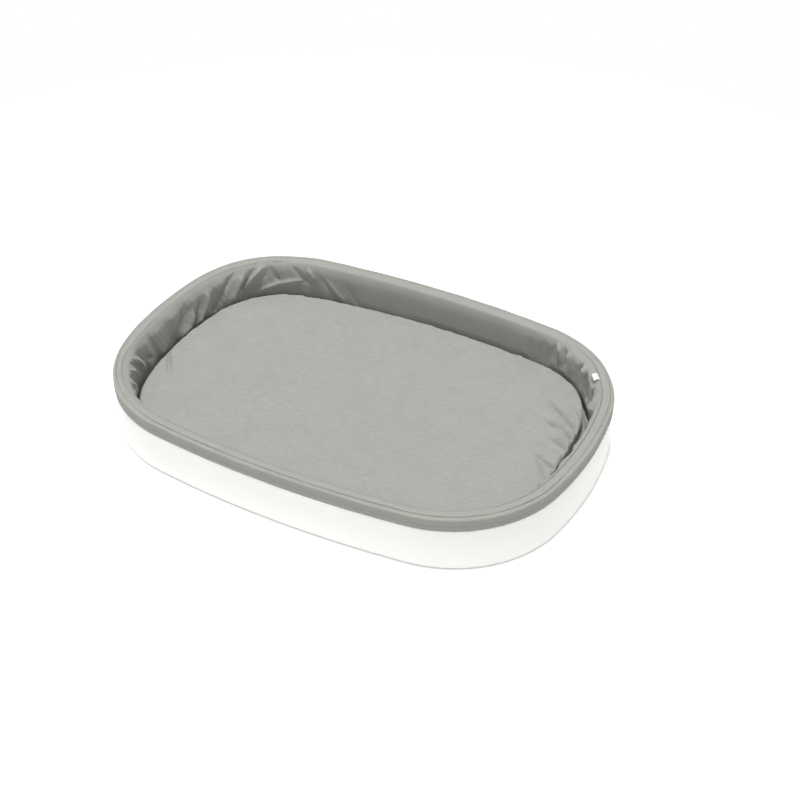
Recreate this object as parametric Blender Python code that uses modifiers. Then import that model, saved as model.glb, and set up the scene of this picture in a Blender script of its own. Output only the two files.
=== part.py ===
"""Changing mat: a low double-walled plastic tub, a fitted textile liner whose skirt is
held by elastic, and a crowned mattress that lifts out.

Metres, +Z up, +X along the mat. The origin is on the floor under its middle.
"""

import math
from collections import namedtuple

import bmesh
import bpy
from mathutils import Matrix, Vector

# The textile rim seen from above: an arc on each side, end and corner, all tangent
RIM_LENGTH = 0.720
RIM_WIDTH = 0.500
RIM_HEIGHT = 0.092
SIDE_RADIUS = 1.580
END_RADIUS = 0.514
CORNER_RADIUS = 0.180

# Clearance between pieces that touch, and how far a cutter runs past a face
FIT_GAP = 0.0003
OVERRUN = 0.002
MERGE_DISTANCE = 0.00001

# Liner: its cloth, the foam strip on the rim, and the skirt with its hem
LINER_CLOTH = 0.0010
RIM_PADDING = 0.0019
SKIRT_CLOTH = 0.0007
SKIRT_HEIGHT = 0.0205
SKIRT_HEM = 0.0085
SKIRT_TURN_IN = 0.0046
SKIRT_EDGE_RADIUS = 0.0026
ELASTIC_WIDTH = 0.0050
RIM_STRIP_DOME = 0.0005
RIM_SEAM_INSET = 0.0165
FLOOR_SEAM_INSET = 0.0330
FOLD_SLANT = 22.0

# Tub: outer shell
SHELL_WALL = 0.0025
SHELL_FLUSH_INSET = 0.0004
SHELL_STEP_GAP = 0.0006
SHELL_STEP_RADIUS = 0.0008
SHELL_SIDE_TAPER = 0.0042
SHELL_END_TAPER = 0.0003
SHELL_BOTTOM_RADIUS = 0.0030
SHELL_BOSS_RADIUS = 0.0070
SHELL_BOSS_HEIGHT = 0.0045
RIB_THICKNESS = 0.0018
RIB_REACH = 0.0400

# Tub: inner tray
TRAY_WALL = 0.0020
TRAY_FLOOR_SPACE = 0.0105
TRAY_TOP_INSET = 0.0200
TRAY_DRAFT = 0.0030
TRAY_EDGE_RADIUS = 0.0026
TRAY_FLOOR_RADIUS = 0.0060
TRAY_LIP_DEPTH = 0.0155
TRAY_BOSS_RADIUS = 0.0042
GUSSET_DEPTH = 0.0140
GUSSET_THICKNESS = 0.0016
GUSSET_TOE = 0.0020
# More than the fit gap, because the shell's facets cut in between their corners
GUSSET_CLEARANCE = 0.0010

# Screws and feet
SCREW_RADIUS = 0.0018
SCREW_LENGTH = 0.0075
SCREW_TIP = 0.0012
SCREW_HEAD_RADIUS = 0.0036
SCREW_HEAD_HEIGHT = 0.0024
SCREW_HEAD_ROUND = 0.0009
SCREW_SEAT = 0.0025
THREAD_BITE_GAP = 0.0001
FOOT_RADIUS = 0.0120
FOOT_THICKNESS = 0.0024
FOOT_PROUD = 0.0015
FOOT_EDGE_ROUND = 0.0007
FOOT_DIMPLE_RADIUS = 0.0050
FOOT_DIMPLE_DEPTH = 0.0006
FOOT_FROM_END = 0.1050
FOOT_FROM_SIDE = 0.1000

# Mattress
MATTRESS_SIDE_MARGIN = 0.0260
MATTRESS_END_MARGIN = 0.0345
MATTRESS_THICKNESS = 0.0221
MATTRESS_CROWN = 0.0040
MATTRESS_SHOULDER = 0.0070
MATTRESS_BOTTOM_RADIUS = 0.0060
MATTRESS_SEAM_HEIGHT = 0.0090
MATTRESS_WAIST = 0.0012
COVER_CLOTH = 0.0010
WADDING = 0.0030

# Care label, left blank
LABEL_WIDTH = 0.0150
LABEL_DROP = 0.0160
LABEL_THICKNESS = 0.0004
LABEL_STANDOFF = 0.0065
LABEL_GAP = 0.0006
LABEL_ANGLE = 36.8

# Counts, angles and shares
SHARP_ANGLE = 35.0
RING_STEPS = (3, 8, 3)
BEND_STEPS = 2
FILLET_STEPS = 3
FOOT_COLUMNS = 3
CROSS_RIBS = 5
LONG_RIBS = 3
ROUND_STEPS = 16
SMALL_ROUND_STEPS = 10
GUSSETS_PER_QUARTER = (1, 3, 1)
FOLDS_PER_QUARTER = 3.5
FOLD_BEATS = 5
FOLD_FILL_SHARE = 0.92
FOLD_UNEVEN_SHARE = 0.30
FOLD_FADE_POWER = 8
FOLD_HEIGHT_SHARES = ((0.0, 0.50), (0.30, 0.75), (0.62, 1.0), (0.88, 0.45), (1.0, 0.0))
WALL_RING_SHARES = (0.16, 0.42, 0.70)
CROWN_RING_SHARES = (0.08, 0.20, 0.36, 0.55)
CORE_CROWN_SHARES = (0.20, 0.55)
WADDING_EDGE_SHARE = 1.4
LABEL_SEARCH_STEPS = (12, 36, 12)
LABEL_ROW_SHARES = (0.0, 0.5, 1.0)

Shape = namedtuple("Shape", "half_length half_width side_radius end_radius corner_radius")
RIM_SHAPE = Shape(RIM_LENGTH / 2, RIM_WIDTH / 2, SIDE_RADIUS, END_RADIUS, CORNER_RADIUS)

# Heights, from the floor up
SHELL_FLOOR = FOOT_PROUD + SHELL_WALL
TRAY_FLOOR = SHELL_FLOOR + TRAY_FLOOR_SPACE + TRAY_WALL
LINER_FLOOR = TRAY_FLOOR + FIT_GAP
MATTRESS_BASE = LINER_FLOOR + LINER_CLOTH + FIT_GAP
MATTRESS_EDGE = MATTRESS_BASE + MATTRESS_THICKNESS
SEAM_HEIGHT = MATTRESS_BASE + MATTRESS_SEAM_HEIGHT
STRIP_UNDERSIDE = RIM_HEIGHT - LINER_CLOTH
PADDING_TOP = STRIP_UNDERSIDE - FIT_GAP
LEDGE = PADDING_TOP - RIM_PADDING - FIT_GAP
SHELL_TOP = LEDGE - TRAY_WALL - 2 * FIT_GAP
SKIRT_BOTTOM = RIM_HEIGHT - SKIRT_HEIGHT
SHELL_STEP = SKIRT_BOTTOM - SHELL_STEP_GAP

# Insets from the rim's outline
SKIRT_INNER = SKIRT_CLOTH + FIT_GAP + RIM_PADDING
LIP_INSET = SKIRT_INNER + FIT_GAP
SHELL_INSET = LIP_INSET + TRAY_WALL + FIT_GAP
LINER_WALL_INSET = TRAY_TOP_INSET + FIT_GAP

Material = namedtuple("Material", "name color roughness")
WHITE_PLASTIC = Material("white_plastic", (0.90, 0.90, 0.87), 0.38)
FOOT_RUBBER = Material("foot_rubber", (0.18, 0.18, 0.18), 0.85)
SCREW_STEEL = Material("screw_steel", (0.62, 0.62, 0.60), 0.35)
LINER_GREY = Material("liner_cloth", (0.30, 0.31, 0.28), 0.75)
STRIP_GREY = Material("rim_cloth", (0.42, 0.43, 0.40), 0.85)
MELANGE_GREY = Material("melange_cloth", (0.45, 0.46, 0.43), 0.90)
PADDING_FOAM = Material("foam", (0.86, 0.84, 0.76), 0.95)
WADDING_WHITE = Material("wadding", (0.92, 0.92, 0.90), 1.0)
LABEL_WHITE = Material("label_satin", (0.95, 0.95, 0.95), 0.55)
ELASTIC_WHITE = Material("elastic", (0.80, 0.80, 0.78), 0.80)


def inset(shape, sides, ends=None):
    """The outline drawn in by one distance at its sides and another at its ends."""
    ends = sides if ends is None else ends
    return Shape(
        shape.half_length - ends,
        shape.half_width - sides,
        shape.side_radius - sides,
        shape.end_radius - ends,
        shape.corner_radius - (sides + ends) / 2,
    )


def quarter(shape, steps):
    """Points (x, y, normal angle) from the +X end to the +Y side, along three tangent arcs."""
    side_centre = Vector((0, shape.half_width - shape.side_radius))
    end_centre = Vector((shape.half_length - shape.end_radius, 0))
    side_reach = shape.side_radius - shape.corner_radius
    end_reach = shape.end_radius - shape.corner_radius
    between = end_centre - side_centre
    along = (side_reach**2 - end_reach**2 + between.length_squared) / (2 * between.length)
    across = math.sqrt(side_reach**2 - along**2)
    unit = between.normalized()
    corner_centre = side_centre + unit * along + Vector((unit.y, -unit.x)) * across
    to_end = corner_centre - end_centre
    to_side = corner_centre - side_centre
    end_angle = math.atan2(to_end.y, to_end.x)
    side_angle = math.atan2(to_side.y, to_side.x)
    arcs = (
        (end_centre, shape.end_radius, 0, end_angle, steps[0]),
        (corner_centre, shape.corner_radius, end_angle, side_angle, steps[1]),
        (side_centre, shape.side_radius, side_angle, math.pi / 2, steps[2]),
    )
    points = []
    for centre, radius, start, stop, count in arcs:
        for step in range(count):
            angle = start + (stop - start) * step / count
            points.append((centre.x + radius * math.cos(angle), centre.y + radius * math.sin(angle), angle))
    points.append((0, shape.half_width, math.pi / 2))
    return points


def outline(shape, steps=RING_STEPS):
    """The whole outline, anticlockwise from the +X end, as (x, y, normal angle)."""
    right = quarter(shape, steps)
    left = [(-x, y, math.pi - angle) for x, y, angle in reversed(right)]
    half = right + left[1:]
    other = [(-x, -y, angle + math.pi) for x, y, angle in half]
    return half + other[1:-1]


def ring(shape, height, steps=RING_STEPS):
    return [Vector((x, y, height)) for x, y, _ in outline(shape, steps)]


def rings(shape, path, steps=RING_STEPS):
    """One ring of the outline for each (inset, height) of a path."""
    return [ring(inset(shape, distance), height, steps) for distance, height in path]


def rounded(corners, steps=BEND_STEPS):
    """A path of (inset, height) through corners (inset, height, radius), each bend an arc."""
    path = []
    for index, (distance, height, radius) in enumerate(corners):
        if radius == 0:
            path.append((distance, height))
            continue
        here = Vector((distance, height))
        back = (Vector(corners[index - 1][:2]) - here).normalized()
        ahead = (Vector(corners[index + 1][:2]) - here).normalized()
        half = back.angle(ahead) / 2
        centre = here + (back + ahead).normalized() * radius / math.sin(half)
        start = here + back * radius / math.tan(half) - centre
        stop = here + ahead * radius / math.tan(half) - centre
        turn = math.atan2(start.x * stop.y - start.y * stop.x, start.dot(stop))
        for step in range(steps + 1):
            path.append(tuple(centre + Matrix.Rotation(turn * step / steps, 2) @ start))
    return path


def interpolate(table, share):
    """Smooth value at a share, from a table of (share, value)."""
    for (low, below), (high, above) in zip(table, table[1:]):
        if share <= high:
            mix = (share - low) / (high - low)
            mix = mix * mix * (3 - 2 * mix)
            return below + (above - below) * mix
    return table[-1][1]


def clear_scene():
    for item in list(bpy.data.objects):
        bpy.data.objects.remove(item, do_unlink=True)


def collection(name):
    made = bpy.data.collections.new(name)
    bpy.context.scene.collection.children.link(made)
    return made


def shader(spec):
    """The Principled material of a spec, made once."""
    made = bpy.data.materials.get(spec.name)
    if made is None:
        made = bpy.data.materials.new(spec.name)
        made.use_nodes = True
        node = made.node_tree.nodes["Principled BSDF"]
        node.inputs["Base Color"].default_value = (*spec.color, 1)
        node.inputs["Roughness"].default_value = spec.roughness
        node.inputs["Metallic"].default_value = 1 if spec is SCREW_STEEL else 0
    return made


def empty(name, height, parent=None):
    """A body's own frame, at the height where the body rests."""
    made = bpy.data.objects.new(name, None)
    PARTS.objects.link(made)
    made.location.z = height - (parent["height"] if parent else 0)
    made["height"] = height
    made.parent = parent
    return made


def add_part(name, bm, spec, body, place=None):
    """A sub-part hung on its body's empty. Without a place of its own, its bmesh is in
    world heights, and its origin is its body's."""
    if place is None:
        place = Vector((0, 0, body["height"]))
        bmesh.ops.translate(bm, verts=bm.verts, vec=-place)
    mesh = bpy.data.meshes.new(name)
    bm.to_mesh(mesh)
    bm.free()
    mesh.shade_smooth()
    mesh.set_sharp_from_angle(angle=math.radians(SHARP_ANGLE))
    mesh.materials.append(shader(spec))
    made = bpy.data.objects.new(name, mesh)
    PARTS.objects.link(made)
    made.parent = body
    made.location = Vector(place) - Vector((0, 0, body["height"]))
    return made


def add_tool(name, bm):
    """A solid that only cuts or joins others."""
    mesh = bpy.data.meshes.new(name)
    bm.to_mesh(mesh)
    bm.free()
    made = bpy.data.objects.new(name, mesh)
    TOOLS.objects.link(made)
    made.hide_render = True
    made.display_type = "WIRE"
    return made


def solidify(part, thickness, outward=False):
    modifier = part.modifiers.new("wall", "SOLIDIFY")
    modifier.thickness = thickness
    modifier.offset = 1 if outward else -1
    modifier.use_even_offset = True
    modifier.use_quality_normals = True
    return modifier


def boolean(part, tool, operation):
    modifier = part.modifiers.new(tool.name, "BOOLEAN")
    modifier.operation = operation
    modifier.solver = "EXACT"
    modifier.object = tool


def loft(ring_list, cap_start=False, cap_end=False, closed=False):
    """A skin over rings of equal counts. Rings that rise give outward faces."""
    bm = bmesh.new()
    loops = [[bm.verts.new(point) for point in points] for points in ring_list]
    pairs = list(zip(loops, loops[1:]))
    if closed:
        pairs.append((loops[-1], loops[0]))
    for lower, upper in pairs:
        for index in range(len(lower)):
            bm.faces.new((lower[index - 1], lower[index], upper[index], upper[index - 1]))
    if cap_start:
        bm.faces.new(reversed(loops[0]))
    if cap_end:
        bm.faces.new(loops[-1])
    if closed or (cap_start and cap_end):
        bmesh.ops.recalc_face_normals(bm, faces=bm.faces)
    return bm


def add_box(bm, size, centre):
    matrix = Matrix.Translation(centre) @ Matrix.Diagonal((*size, 1))
    bmesh.ops.create_cube(bm, size=1, matrix=matrix)


def add_cylinder(bm, radius, low, high, place, steps=ROUND_STEPS):
    bmesh.ops.create_cone(
        bm,
        cap_ends=True,
        segments=steps,
        radius1=radius,
        radius2=radius,
        depth=high - low,
        matrix=Matrix.Translation((place[0], place[1], (low + high) / 2)),
    )


def shell_shape(height):
    """The outer wall's outline: flush with the skirt under its hem, drawn in at the floor."""
    share = max(SHELL_STEP - height, 0) / (SHELL_STEP - FOOT_PROUD)
    return inset(
        RIM_SHAPE,
        SHELL_FLUSH_INSET + SHELL_SIDE_TAPER * share,
        SHELL_FLUSH_INSET + SHELL_END_TAPER * share,
    )


def foot_places():
    """Feet, and the screws above them, stand in rows on a grid in from the base's edge."""
    base = shell_shape(FOOT_PROUD)
    reach_x = base.half_length - FOOT_FROM_END
    reach_y = base.half_width - FOOT_FROM_SIDE
    columns = [reach_x * (2 * index / (FOOT_COLUMNS - 1) - 1) for index in range(FOOT_COLUMNS)]
    return [(x, y) for y in (-reach_y, reach_y) for x in columns]


def upright_cylinders(places, radius, low, high, name, steps=ROUND_STEPS):
    """A tool of upright cylinders at the given places."""
    bm = bmesh.new()
    for place in places:
        add_cylinder(bm, radius, low, high, place, steps)
    return add_tool(name, bm)


def make_outer_shell(body):
    """Outer wall and base, with floor ribs, screw bosses and the feet's recesses. A neck,
    stepped in above the wall, goes up inside the tray's lip and leaves room for the skirt."""
    neck = SHELL_INSET - SHELL_FLUSH_INSET
    outside = rounded(
        [
            (SHELL_BOTTOM_RADIUS + FIT_GAP, FOOT_PROUD, 0),
            (0, FOOT_PROUD, SHELL_BOTTOM_RADIUS),
            (0, SHELL_STEP, SHELL_STEP_RADIUS),
            (neck, SHELL_STEP, 0),
            (neck, SHELL_TOP, 0),
        ],
        FILLET_STEPS,
    )
    inside = rounded(
        [
            (SHELL_BOTTOM_RADIUS + FIT_GAP, SHELL_FLOOR, 0),
            (SHELL_WALL, SHELL_FLOOR, SHELL_BOTTOM_RADIUS - SHELL_WALL),
            (SHELL_WALL, SHELL_STEP - SHELL_WALL, 0),
            (neck + SHELL_WALL, SHELL_STEP - SHELL_WALL, 0),
            (neck + SHELL_WALL, SHELL_TOP, 0),
        ]
    )
    path = outside[1:] + inside[:0:-1]
    skin = [ring(inset(shell_shape(height), distance), height) for distance, height in path]
    shell = add_part("tub_outer_shell", loft(skin, True, True), WHITE_PLASTIC, body)

    places = foot_places()
    reach_x = max(x for x, _ in places)
    reach_y = max(y for _, y in places)
    low = FOOT_PROUD + SHELL_WALL / 2
    rib_top = SHELL_FLOOR + TRAY_FLOOR_SPACE - FIT_GAP
    rib_size = rib_top - low
    rib_middle = (rib_top + low) / 2
    cross = bmesh.new()
    for index in range(CROSS_RIBS):
        x = reach_x * (2 * index / (CROSS_RIBS - 1) - 1)
        add_box(cross, (RIB_THICKNESS, 2 * (reach_y + RIB_REACH), rib_size), (x, 0, rib_middle))
    boolean(shell, add_tool("cross_ribs", cross), "UNION")
    long_ribs = bmesh.new()
    for index in range(LONG_RIBS):
        y = reach_y * (2 * index / (LONG_RIBS - 1) - 1)
        add_box(long_ribs, (2 * (reach_x + RIB_REACH), RIB_THICKNESS, rib_size), (0, y, rib_middle))
    boolean(shell, add_tool("long_ribs", long_ribs), "UNION")

    boss_top = SHELL_FLOOR + SHELL_BOSS_HEIGHT
    bosses = upright_cylinders(places, SHELL_BOSS_RADIUS, low, boss_top, "shell_bosses")
    boolean(shell, bosses, "UNION")
    socket_radius = TRAY_BOSS_RADIUS + FIT_GAP
    sockets = upright_cylinders(places, socket_radius, boss_top, rib_top + OVERRUN, "tray_boss_sockets")
    boolean(shell, sockets, "DIFFERENCE")
    recess_top = FOOT_THICKNESS + FIT_GAP
    foot_radius = FOOT_RADIUS + FIT_GAP
    recesses = upright_cylinders(places, foot_radius, FOOT_PROUD - OVERRUN, recess_top, "foot_recesses")
    boolean(shell, recesses, "DIFFERENCE")
    seat = boss_top - SCREW_SEAT
    head_radius = SCREW_HEAD_RADIUS + FIT_GAP
    counterbores = upright_cylinders(
        places, head_radius, FOOT_PROUD - OVERRUN, seat, "screw_head_bores", SMALL_ROUND_STEPS
    )
    boolean(shell, counterbores, "DIFFERENCE")
    hole_radius = SCREW_RADIUS + FIT_GAP
    holes = upright_cylinders(
        places, hole_radius, FOOT_PROUD, boss_top + OVERRUN, "screw_holes", SMALL_ROUND_STEPS
    )
    boolean(shell, holes, "DIFFERENCE")


def add_gusset(bm, x, y, angle):
    """A web in the corner under the ledge, behind the tray's wall."""
    wall = TRAY_TOP_INSET - TRAY_WALL / 2
    outer = SHELL_INSET + SHELL_WALL + GUSSET_CLEARANCE
    top = LEDGE - TRAY_WALL / 2
    low = SHELL_TOP - GUSSET_DEPTH
    corners = ((wall, top), (outer, top), (outer, SHELL_TOP - GUSSET_TOE), (wall, low))
    outward = Vector((math.cos(angle), math.sin(angle), 0))
    along = Vector((-outward.y, outward.x, 0))
    start = Vector((x, y, 0)) - along * GUSSET_THICKNESS / 2
    verts = []
    for distance, height in corners:
        verts.append(bm.verts.new(start - outward * distance + Vector((0, 0, height))))
    face = bm.faces.new(verts)
    grown = bmesh.ops.extrude_face_region(bm, geom=[face])
    moved = [item for item in grown["geom"] if isinstance(item, bmesh.types.BMVert)]
    bmesh.ops.translate(bm, verts=moved, vec=along * GUSSET_THICKNESS)


def make_inner_tray(body):
    """Lip, flat ledge, wall and floor of the tray, with its bosses and gussets."""
    path = rounded(
        [
            (LIP_INSET, LEDGE - TRAY_LIP_DEPTH, 0),
            (LIP_INSET, LEDGE, TRAY_EDGE_RADIUS),
            (TRAY_TOP_INSET, LEDGE, TRAY_EDGE_RADIUS),
            (TRAY_TOP_INSET + TRAY_DRAFT, TRAY_FLOOR, TRAY_FLOOR_RADIUS),
            (FLOOR_SEAM_INSET, TRAY_FLOOR, 0),
        ]
    )
    skin = rings(RIM_SHAPE, path)
    tray = add_part("tub_inner_tray", loft(skin, cap_end=True), WHITE_PLASTIC, body)
    solidify(tray, TRAY_WALL)

    places = foot_places()
    low = SHELL_FLOOR + SHELL_BOSS_HEIGHT + FIT_GAP
    high = TRAY_FLOOR - TRAY_WALL / 2
    bosses = upright_cylinders(places, TRAY_BOSS_RADIUS, low, high, "tray_bosses", SMALL_ROUND_STEPS)
    boolean(tray, bosses, "UNION")
    gussets = bmesh.new()
    for x, y, angle in outline(RIM_SHAPE, GUSSETS_PER_QUARTER):
        add_gusset(gussets, x, y, angle)
    bmesh.ops.recalc_face_normals(gussets, faces=gussets.faces)
    boolean(tray, add_tool("ledge_gussets", gussets), "UNION")
    pilot_radius = SCREW_RADIUS + THREAD_BITE_GAP
    pilot_top = screw_seat() + SCREW_LENGTH
    pilots = upright_cylinders(
        places, pilot_radius, low - OVERRUN, pilot_top, "pilot_holes", SMALL_ROUND_STEPS
    )
    boolean(tray, pilots, "DIFFERENCE")


def screw_seat():
    """Height of the face that a screw's head pulls against."""
    return SHELL_FLOOR + SHELL_BOSS_HEIGHT - SCREW_SEAT


def turned(name, profile, spec, body, place, steps):
    """A turned piece: a half profile in X and Z with a Screw modifier round Z."""
    bm = bmesh.new()
    verts = [bm.verts.new((radius, 0, height)) for radius, height in profile]
    for first, second in zip(verts, verts[1:]):
        bm.edges.new((first, second))
    part = add_part(name, bm, spec, body, place)
    modifier = part.modifiers.new("turn", "SCREW")
    modifier.steps = steps
    modifier.render_steps = steps
    modifier.use_merge_vertices = True
    modifier.merge_threshold = MERGE_DISTANCE
    modifier.use_normal_calculate = True
    return part


def make_screws(body):
    """Pan head screws that join shell and tray, heads down under the feet."""
    bearing = -FIT_GAP
    low = bearing - SCREW_HEAD_HEIGHT
    tip = bearing + SCREW_LENGTH
    profile = (
        (0, tip),
        (SCREW_RADIUS / 2, tip),
        (SCREW_RADIUS, tip - SCREW_TIP),
        (SCREW_RADIUS, bearing),
        (SCREW_HEAD_RADIUS, bearing),
        (SCREW_HEAD_RADIUS, low + SCREW_HEAD_ROUND),
        (SCREW_HEAD_RADIUS - SCREW_HEAD_ROUND, low),
        (0, low),
    )
    for number, (x, y) in enumerate(foot_places(), 1):
        turned(f"tray_screw_{number}", profile, SCREW_STEEL, body, (x, y, screw_seat()), SMALL_ROUND_STEPS)


def make_feet(body):
    """Rubber discs in the shell's recesses, dimpled underneath for grip."""
    profile = (
        (0, FOOT_THICKNESS),
        (FOOT_RADIUS, FOOT_THICKNESS),
        (FOOT_RADIUS, FOOT_EDGE_ROUND),
        (FOOT_RADIUS - FOOT_EDGE_ROUND, 0),
        (FOOT_DIMPLE_RADIUS, 0),
        (FOOT_DIMPLE_RADIUS - FOOT_DIMPLE_DEPTH, FOOT_DIMPLE_DEPTH),
        (0, FOOT_DIMPLE_DEPTH),
    )
    for number, (x, y) in enumerate(foot_places(), 1):
        turned(f"rubber_foot_{number}", profile, FOOT_RUBBER, body, (x, y, 0), ROUND_STEPS)


def make_floor_panel(body):
    """The liner's flat bottom, welded to its wall at the floor seam."""
    shape = inset(RIM_SHAPE, FLOOR_SEAM_INSET + FIT_GAP)
    low = ring(shape, LINER_FLOOR)
    high = ring(shape, LINER_FLOOR + LINER_CLOTH)
    add_part("liner_floor_panel", loft([low, high], True, True), LINER_GREY, body)


def mattress_shape():
    return inset(RIM_SHAPE, MATTRESS_SIDE_MARGIN, MATTRESS_END_MARGIN)


def fold_waves():
    """For each point of the ring, the room for a fold at the wall's foot, how far the folds
    have died out towards the long sides, and the phase of the wave."""
    wall = inset(RIM_SHAPE, LINER_WALL_INSET + TRAY_DRAFT + LINER_CLOTH)
    points = outline(wall)
    pads = outline(mattress_shape())
    per_quarter = sum(RING_STEPS)
    waves = []
    for index, ((x, y, angle), (pad_x, pad_y, _)) in enumerate(zip(points, pads)):
        normal = Vector((math.cos(angle), math.sin(angle)))
        room = (Vector((x, y)) - Vector((pad_x, pad_y))).dot(normal) - 2 * FIT_GAP
        beat = (1 + math.sin(2 * math.pi * FOLD_BEATS * index / len(points))) / 2
        gather = (1 - abs(math.sin(angle)) ** FOLD_FADE_POWER) * (1 - FOLD_UNEVEN_SHARE * beat)
        phase = 2 * math.pi * FOLDS_PER_QUARTER * index / per_quarter
        waves.append((room, gather, phase))
    return waves


def make_wall_panel(body):
    """The liner's inner wall: over the ledge's edge, down in gathered folds, onto the floor."""
    bend = TRAY_EDGE_RADIUS - FIT_GAP
    fillet = TRAY_FLOOR_RADIUS - FIT_GAP
    bottom_inset = LINER_WALL_INSET + TRAY_DRAFT
    top = rounded(
        [
            (RIM_SEAM_INSET + FIT_GAP, STRIP_UNDERSIDE, 0),
            (LINER_WALL_INSET, STRIP_UNDERSIDE, bend),
            (bottom_inset, LINER_FLOOR, 0),
        ],
        1,
    )[:-1]
    foot = rounded(
        [
            (LINER_WALL_INSET, STRIP_UNDERSIDE, 0),
            (bottom_inset, LINER_FLOOR, fillet),
            (FLOOR_SEAM_INSET, LINER_FLOOR, 0),
        ]
    )[1:]
    high = top[-1][1]
    low = foot[0][1]
    drop = high - low
    middle = []
    for share in WALL_RING_SHARES:
        height = high - drop * share
        mix = (STRIP_UNDERSIDE - height) / (STRIP_UNDERSIDE - LINER_FLOOR)
        middle.append((LINER_WALL_INSET + TRAY_DRAFT * mix, height))
    waves = fold_waves()
    ring_list = []
    for distance, height in top + middle + foot:
        points = outline(inset(RIM_SHAPE, distance))
        share = min(max((height - low) / drop, 0), 1)
        strength = interpolate(FOLD_HEIGHT_SHARES, share) if low < height < high else 0
        row = []
        for (x, y, angle), (room, gather, phase) in zip(points, waves):
            slant = math.radians(FOLD_SLANT) * share
            room = max(0, room + bottom_inset - distance) * FOLD_FILL_SHARE * gather
            stand = room * strength * (1 + math.sin(phase + slant)) / 2
            row.append(Vector((x - stand * math.cos(angle), y - stand * math.sin(angle), height)))
        ring_list.append(row)
    panel = add_part("liner_wall_panel", loft(ring_list), LINER_GREY, body)
    solidify(panel, LINER_CLOTH, outward=True)


def make_rim_padding(body):
    """A foam strip over the ledge and down the lip, which softens the rim."""
    outer = SKIRT_CLOTH + FIT_GAP
    low = SKIRT_BOTTOM + SKIRT_HEM + FIT_GAP
    under = LEDGE + FIT_GAP
    path = rounded(
        [
            (outer, low, 0),
            (outer, PADDING_TOP, SKIRT_EDGE_RADIUS - SKIRT_CLOTH),
            (RIM_SEAM_INSET, PADDING_TOP, 0),
            (RIM_SEAM_INSET, under, 0),
            (SKIRT_INNER, under, TRAY_EDGE_RADIUS + FIT_GAP),
            (SKIRT_INNER, low, 0),
        ]
    )
    bm = loft(rings(RIM_SHAPE, path), closed=True)
    add_part("liner_rim_padding", bm, PADDING_FOAM, body)


def make_rim_strip(body):
    """The top strip of the rim, between the skirt's seam and the wall's seam."""
    outer = SKIRT_TURN_IN + FIT_GAP
    shoulder = RIM_HEIGHT - RIM_STRIP_DOME
    path = (
        (outer, STRIP_UNDERSIDE),
        (outer, shoulder),
        ((outer + RIM_SEAM_INSET) / 2, RIM_HEIGHT),
        (RIM_SEAM_INSET, shoulder),
        (RIM_SEAM_INSET, STRIP_UNDERSIDE),
    )
    bm = loft(rings(RIM_SHAPE, path), closed=True)
    add_part("liner_rim_strip", bm, STRIP_GREY, body)


def make_skirt(body):
    """The band round the tub: turned in over the rim's edge, with a hem that holds elastic."""
    top = STRIP_UNDERSIDE + SKIRT_CLOTH
    hem_top = SKIRT_BOTTOM + SKIRT_HEM
    path = rounded(
        [
            (SKIRT_TURN_IN, top, 0),
            (0, top, SKIRT_EDGE_RADIUS),
            (0, SKIRT_BOTTOM, 0),
            (SKIRT_INNER, SKIRT_BOTTOM, 0),
            (SKIRT_INNER, hem_top, 0),
            (SKIRT_INNER - SKIRT_CLOTH, hem_top, 0),
            (SKIRT_INNER - SKIRT_CLOTH, SKIRT_BOTTOM + SKIRT_CLOTH, 0),
            (SKIRT_CLOTH, SKIRT_BOTTOM + SKIRT_CLOTH, 0),
            (SKIRT_CLOTH, STRIP_UNDERSIDE, SKIRT_EDGE_RADIUS - SKIRT_CLOTH),
            (SKIRT_TURN_IN, STRIP_UNDERSIDE, 0),
        ]
    )
    bm = loft(rings(RIM_SHAPE, path), closed=True)
    add_part("liner_skirt_band", bm, STRIP_GREY, body)

    low = SKIRT_BOTTOM + SKIRT_CLOTH + FIT_GAP
    outer = SKIRT_CLOTH + FIT_GAP
    inner = SKIRT_INNER - SKIRT_CLOTH - FIT_GAP
    path = ((outer, low), (outer, low + ELASTIC_WIDTH), (inner, low + ELASTIC_WIDTH), (inner, low))
    bm = loft(rings(RIM_SHAPE, path), closed=True)
    add_part("skirt_elastic", bm, ELASTIC_WHITE, body)


def make_label(body):
    """A blank satin label that hangs from the wall's top seam and stands off below."""
    wall = LINER_WALL_INSET + LINER_CLOTH
    bow = LABEL_WIDTH**2 / (8 * (CORNER_RADIUS - wall))
    face = wall + bow + LABEL_GAP
    target = math.radians(LABEL_ANGLE)
    points = outline(inset(RIM_SHAPE, face), LABEL_SEARCH_STEPS)
    x, y, angle = min(points, key=lambda point: abs(point[2] - target))
    outward = Vector((math.cos(angle), math.sin(angle), 0))
    along = Vector((-outward.y, outward.x, 0))
    top = Vector((x, y, STRIP_UNDERSIDE - TRAY_EDGE_RADIUS))
    bm = bmesh.new()
    rows = []
    for share in LABEL_ROW_SHARES:
        middle = top - outward * LABEL_STANDOFF * share - Vector((0, 0, LABEL_DROP * share))
        rows.append([bm.verts.new(middle + along * LABEL_WIDTH * side) for side in (-1 / 2, 1 / 2)])
    for upper, lower in zip(rows, rows[1:]):
        bm.faces.new((lower[0], lower[1], upper[1], upper[0]))
    label = add_part("care_label", bm, LABEL_WHITE, body)
    solidify(label, LABEL_THICKNESS, outward=False)


def crown(distance):
    """Rise of the mattress's top over its edge, at a distance in from the edge."""
    reach = mattress_shape().half_width
    share = (reach - distance) / (reach - MATTRESS_SHOULDER)
    return MATTRESS_CROWN * (1 - share**2)


def waist(height):
    """How far the mattress's side draws in between its corners."""
    share = (height - MATTRESS_BASE) / MATTRESS_THICKNESS
    return MATTRESS_WAIST * math.sin(math.pi * share) ** 2


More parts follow.
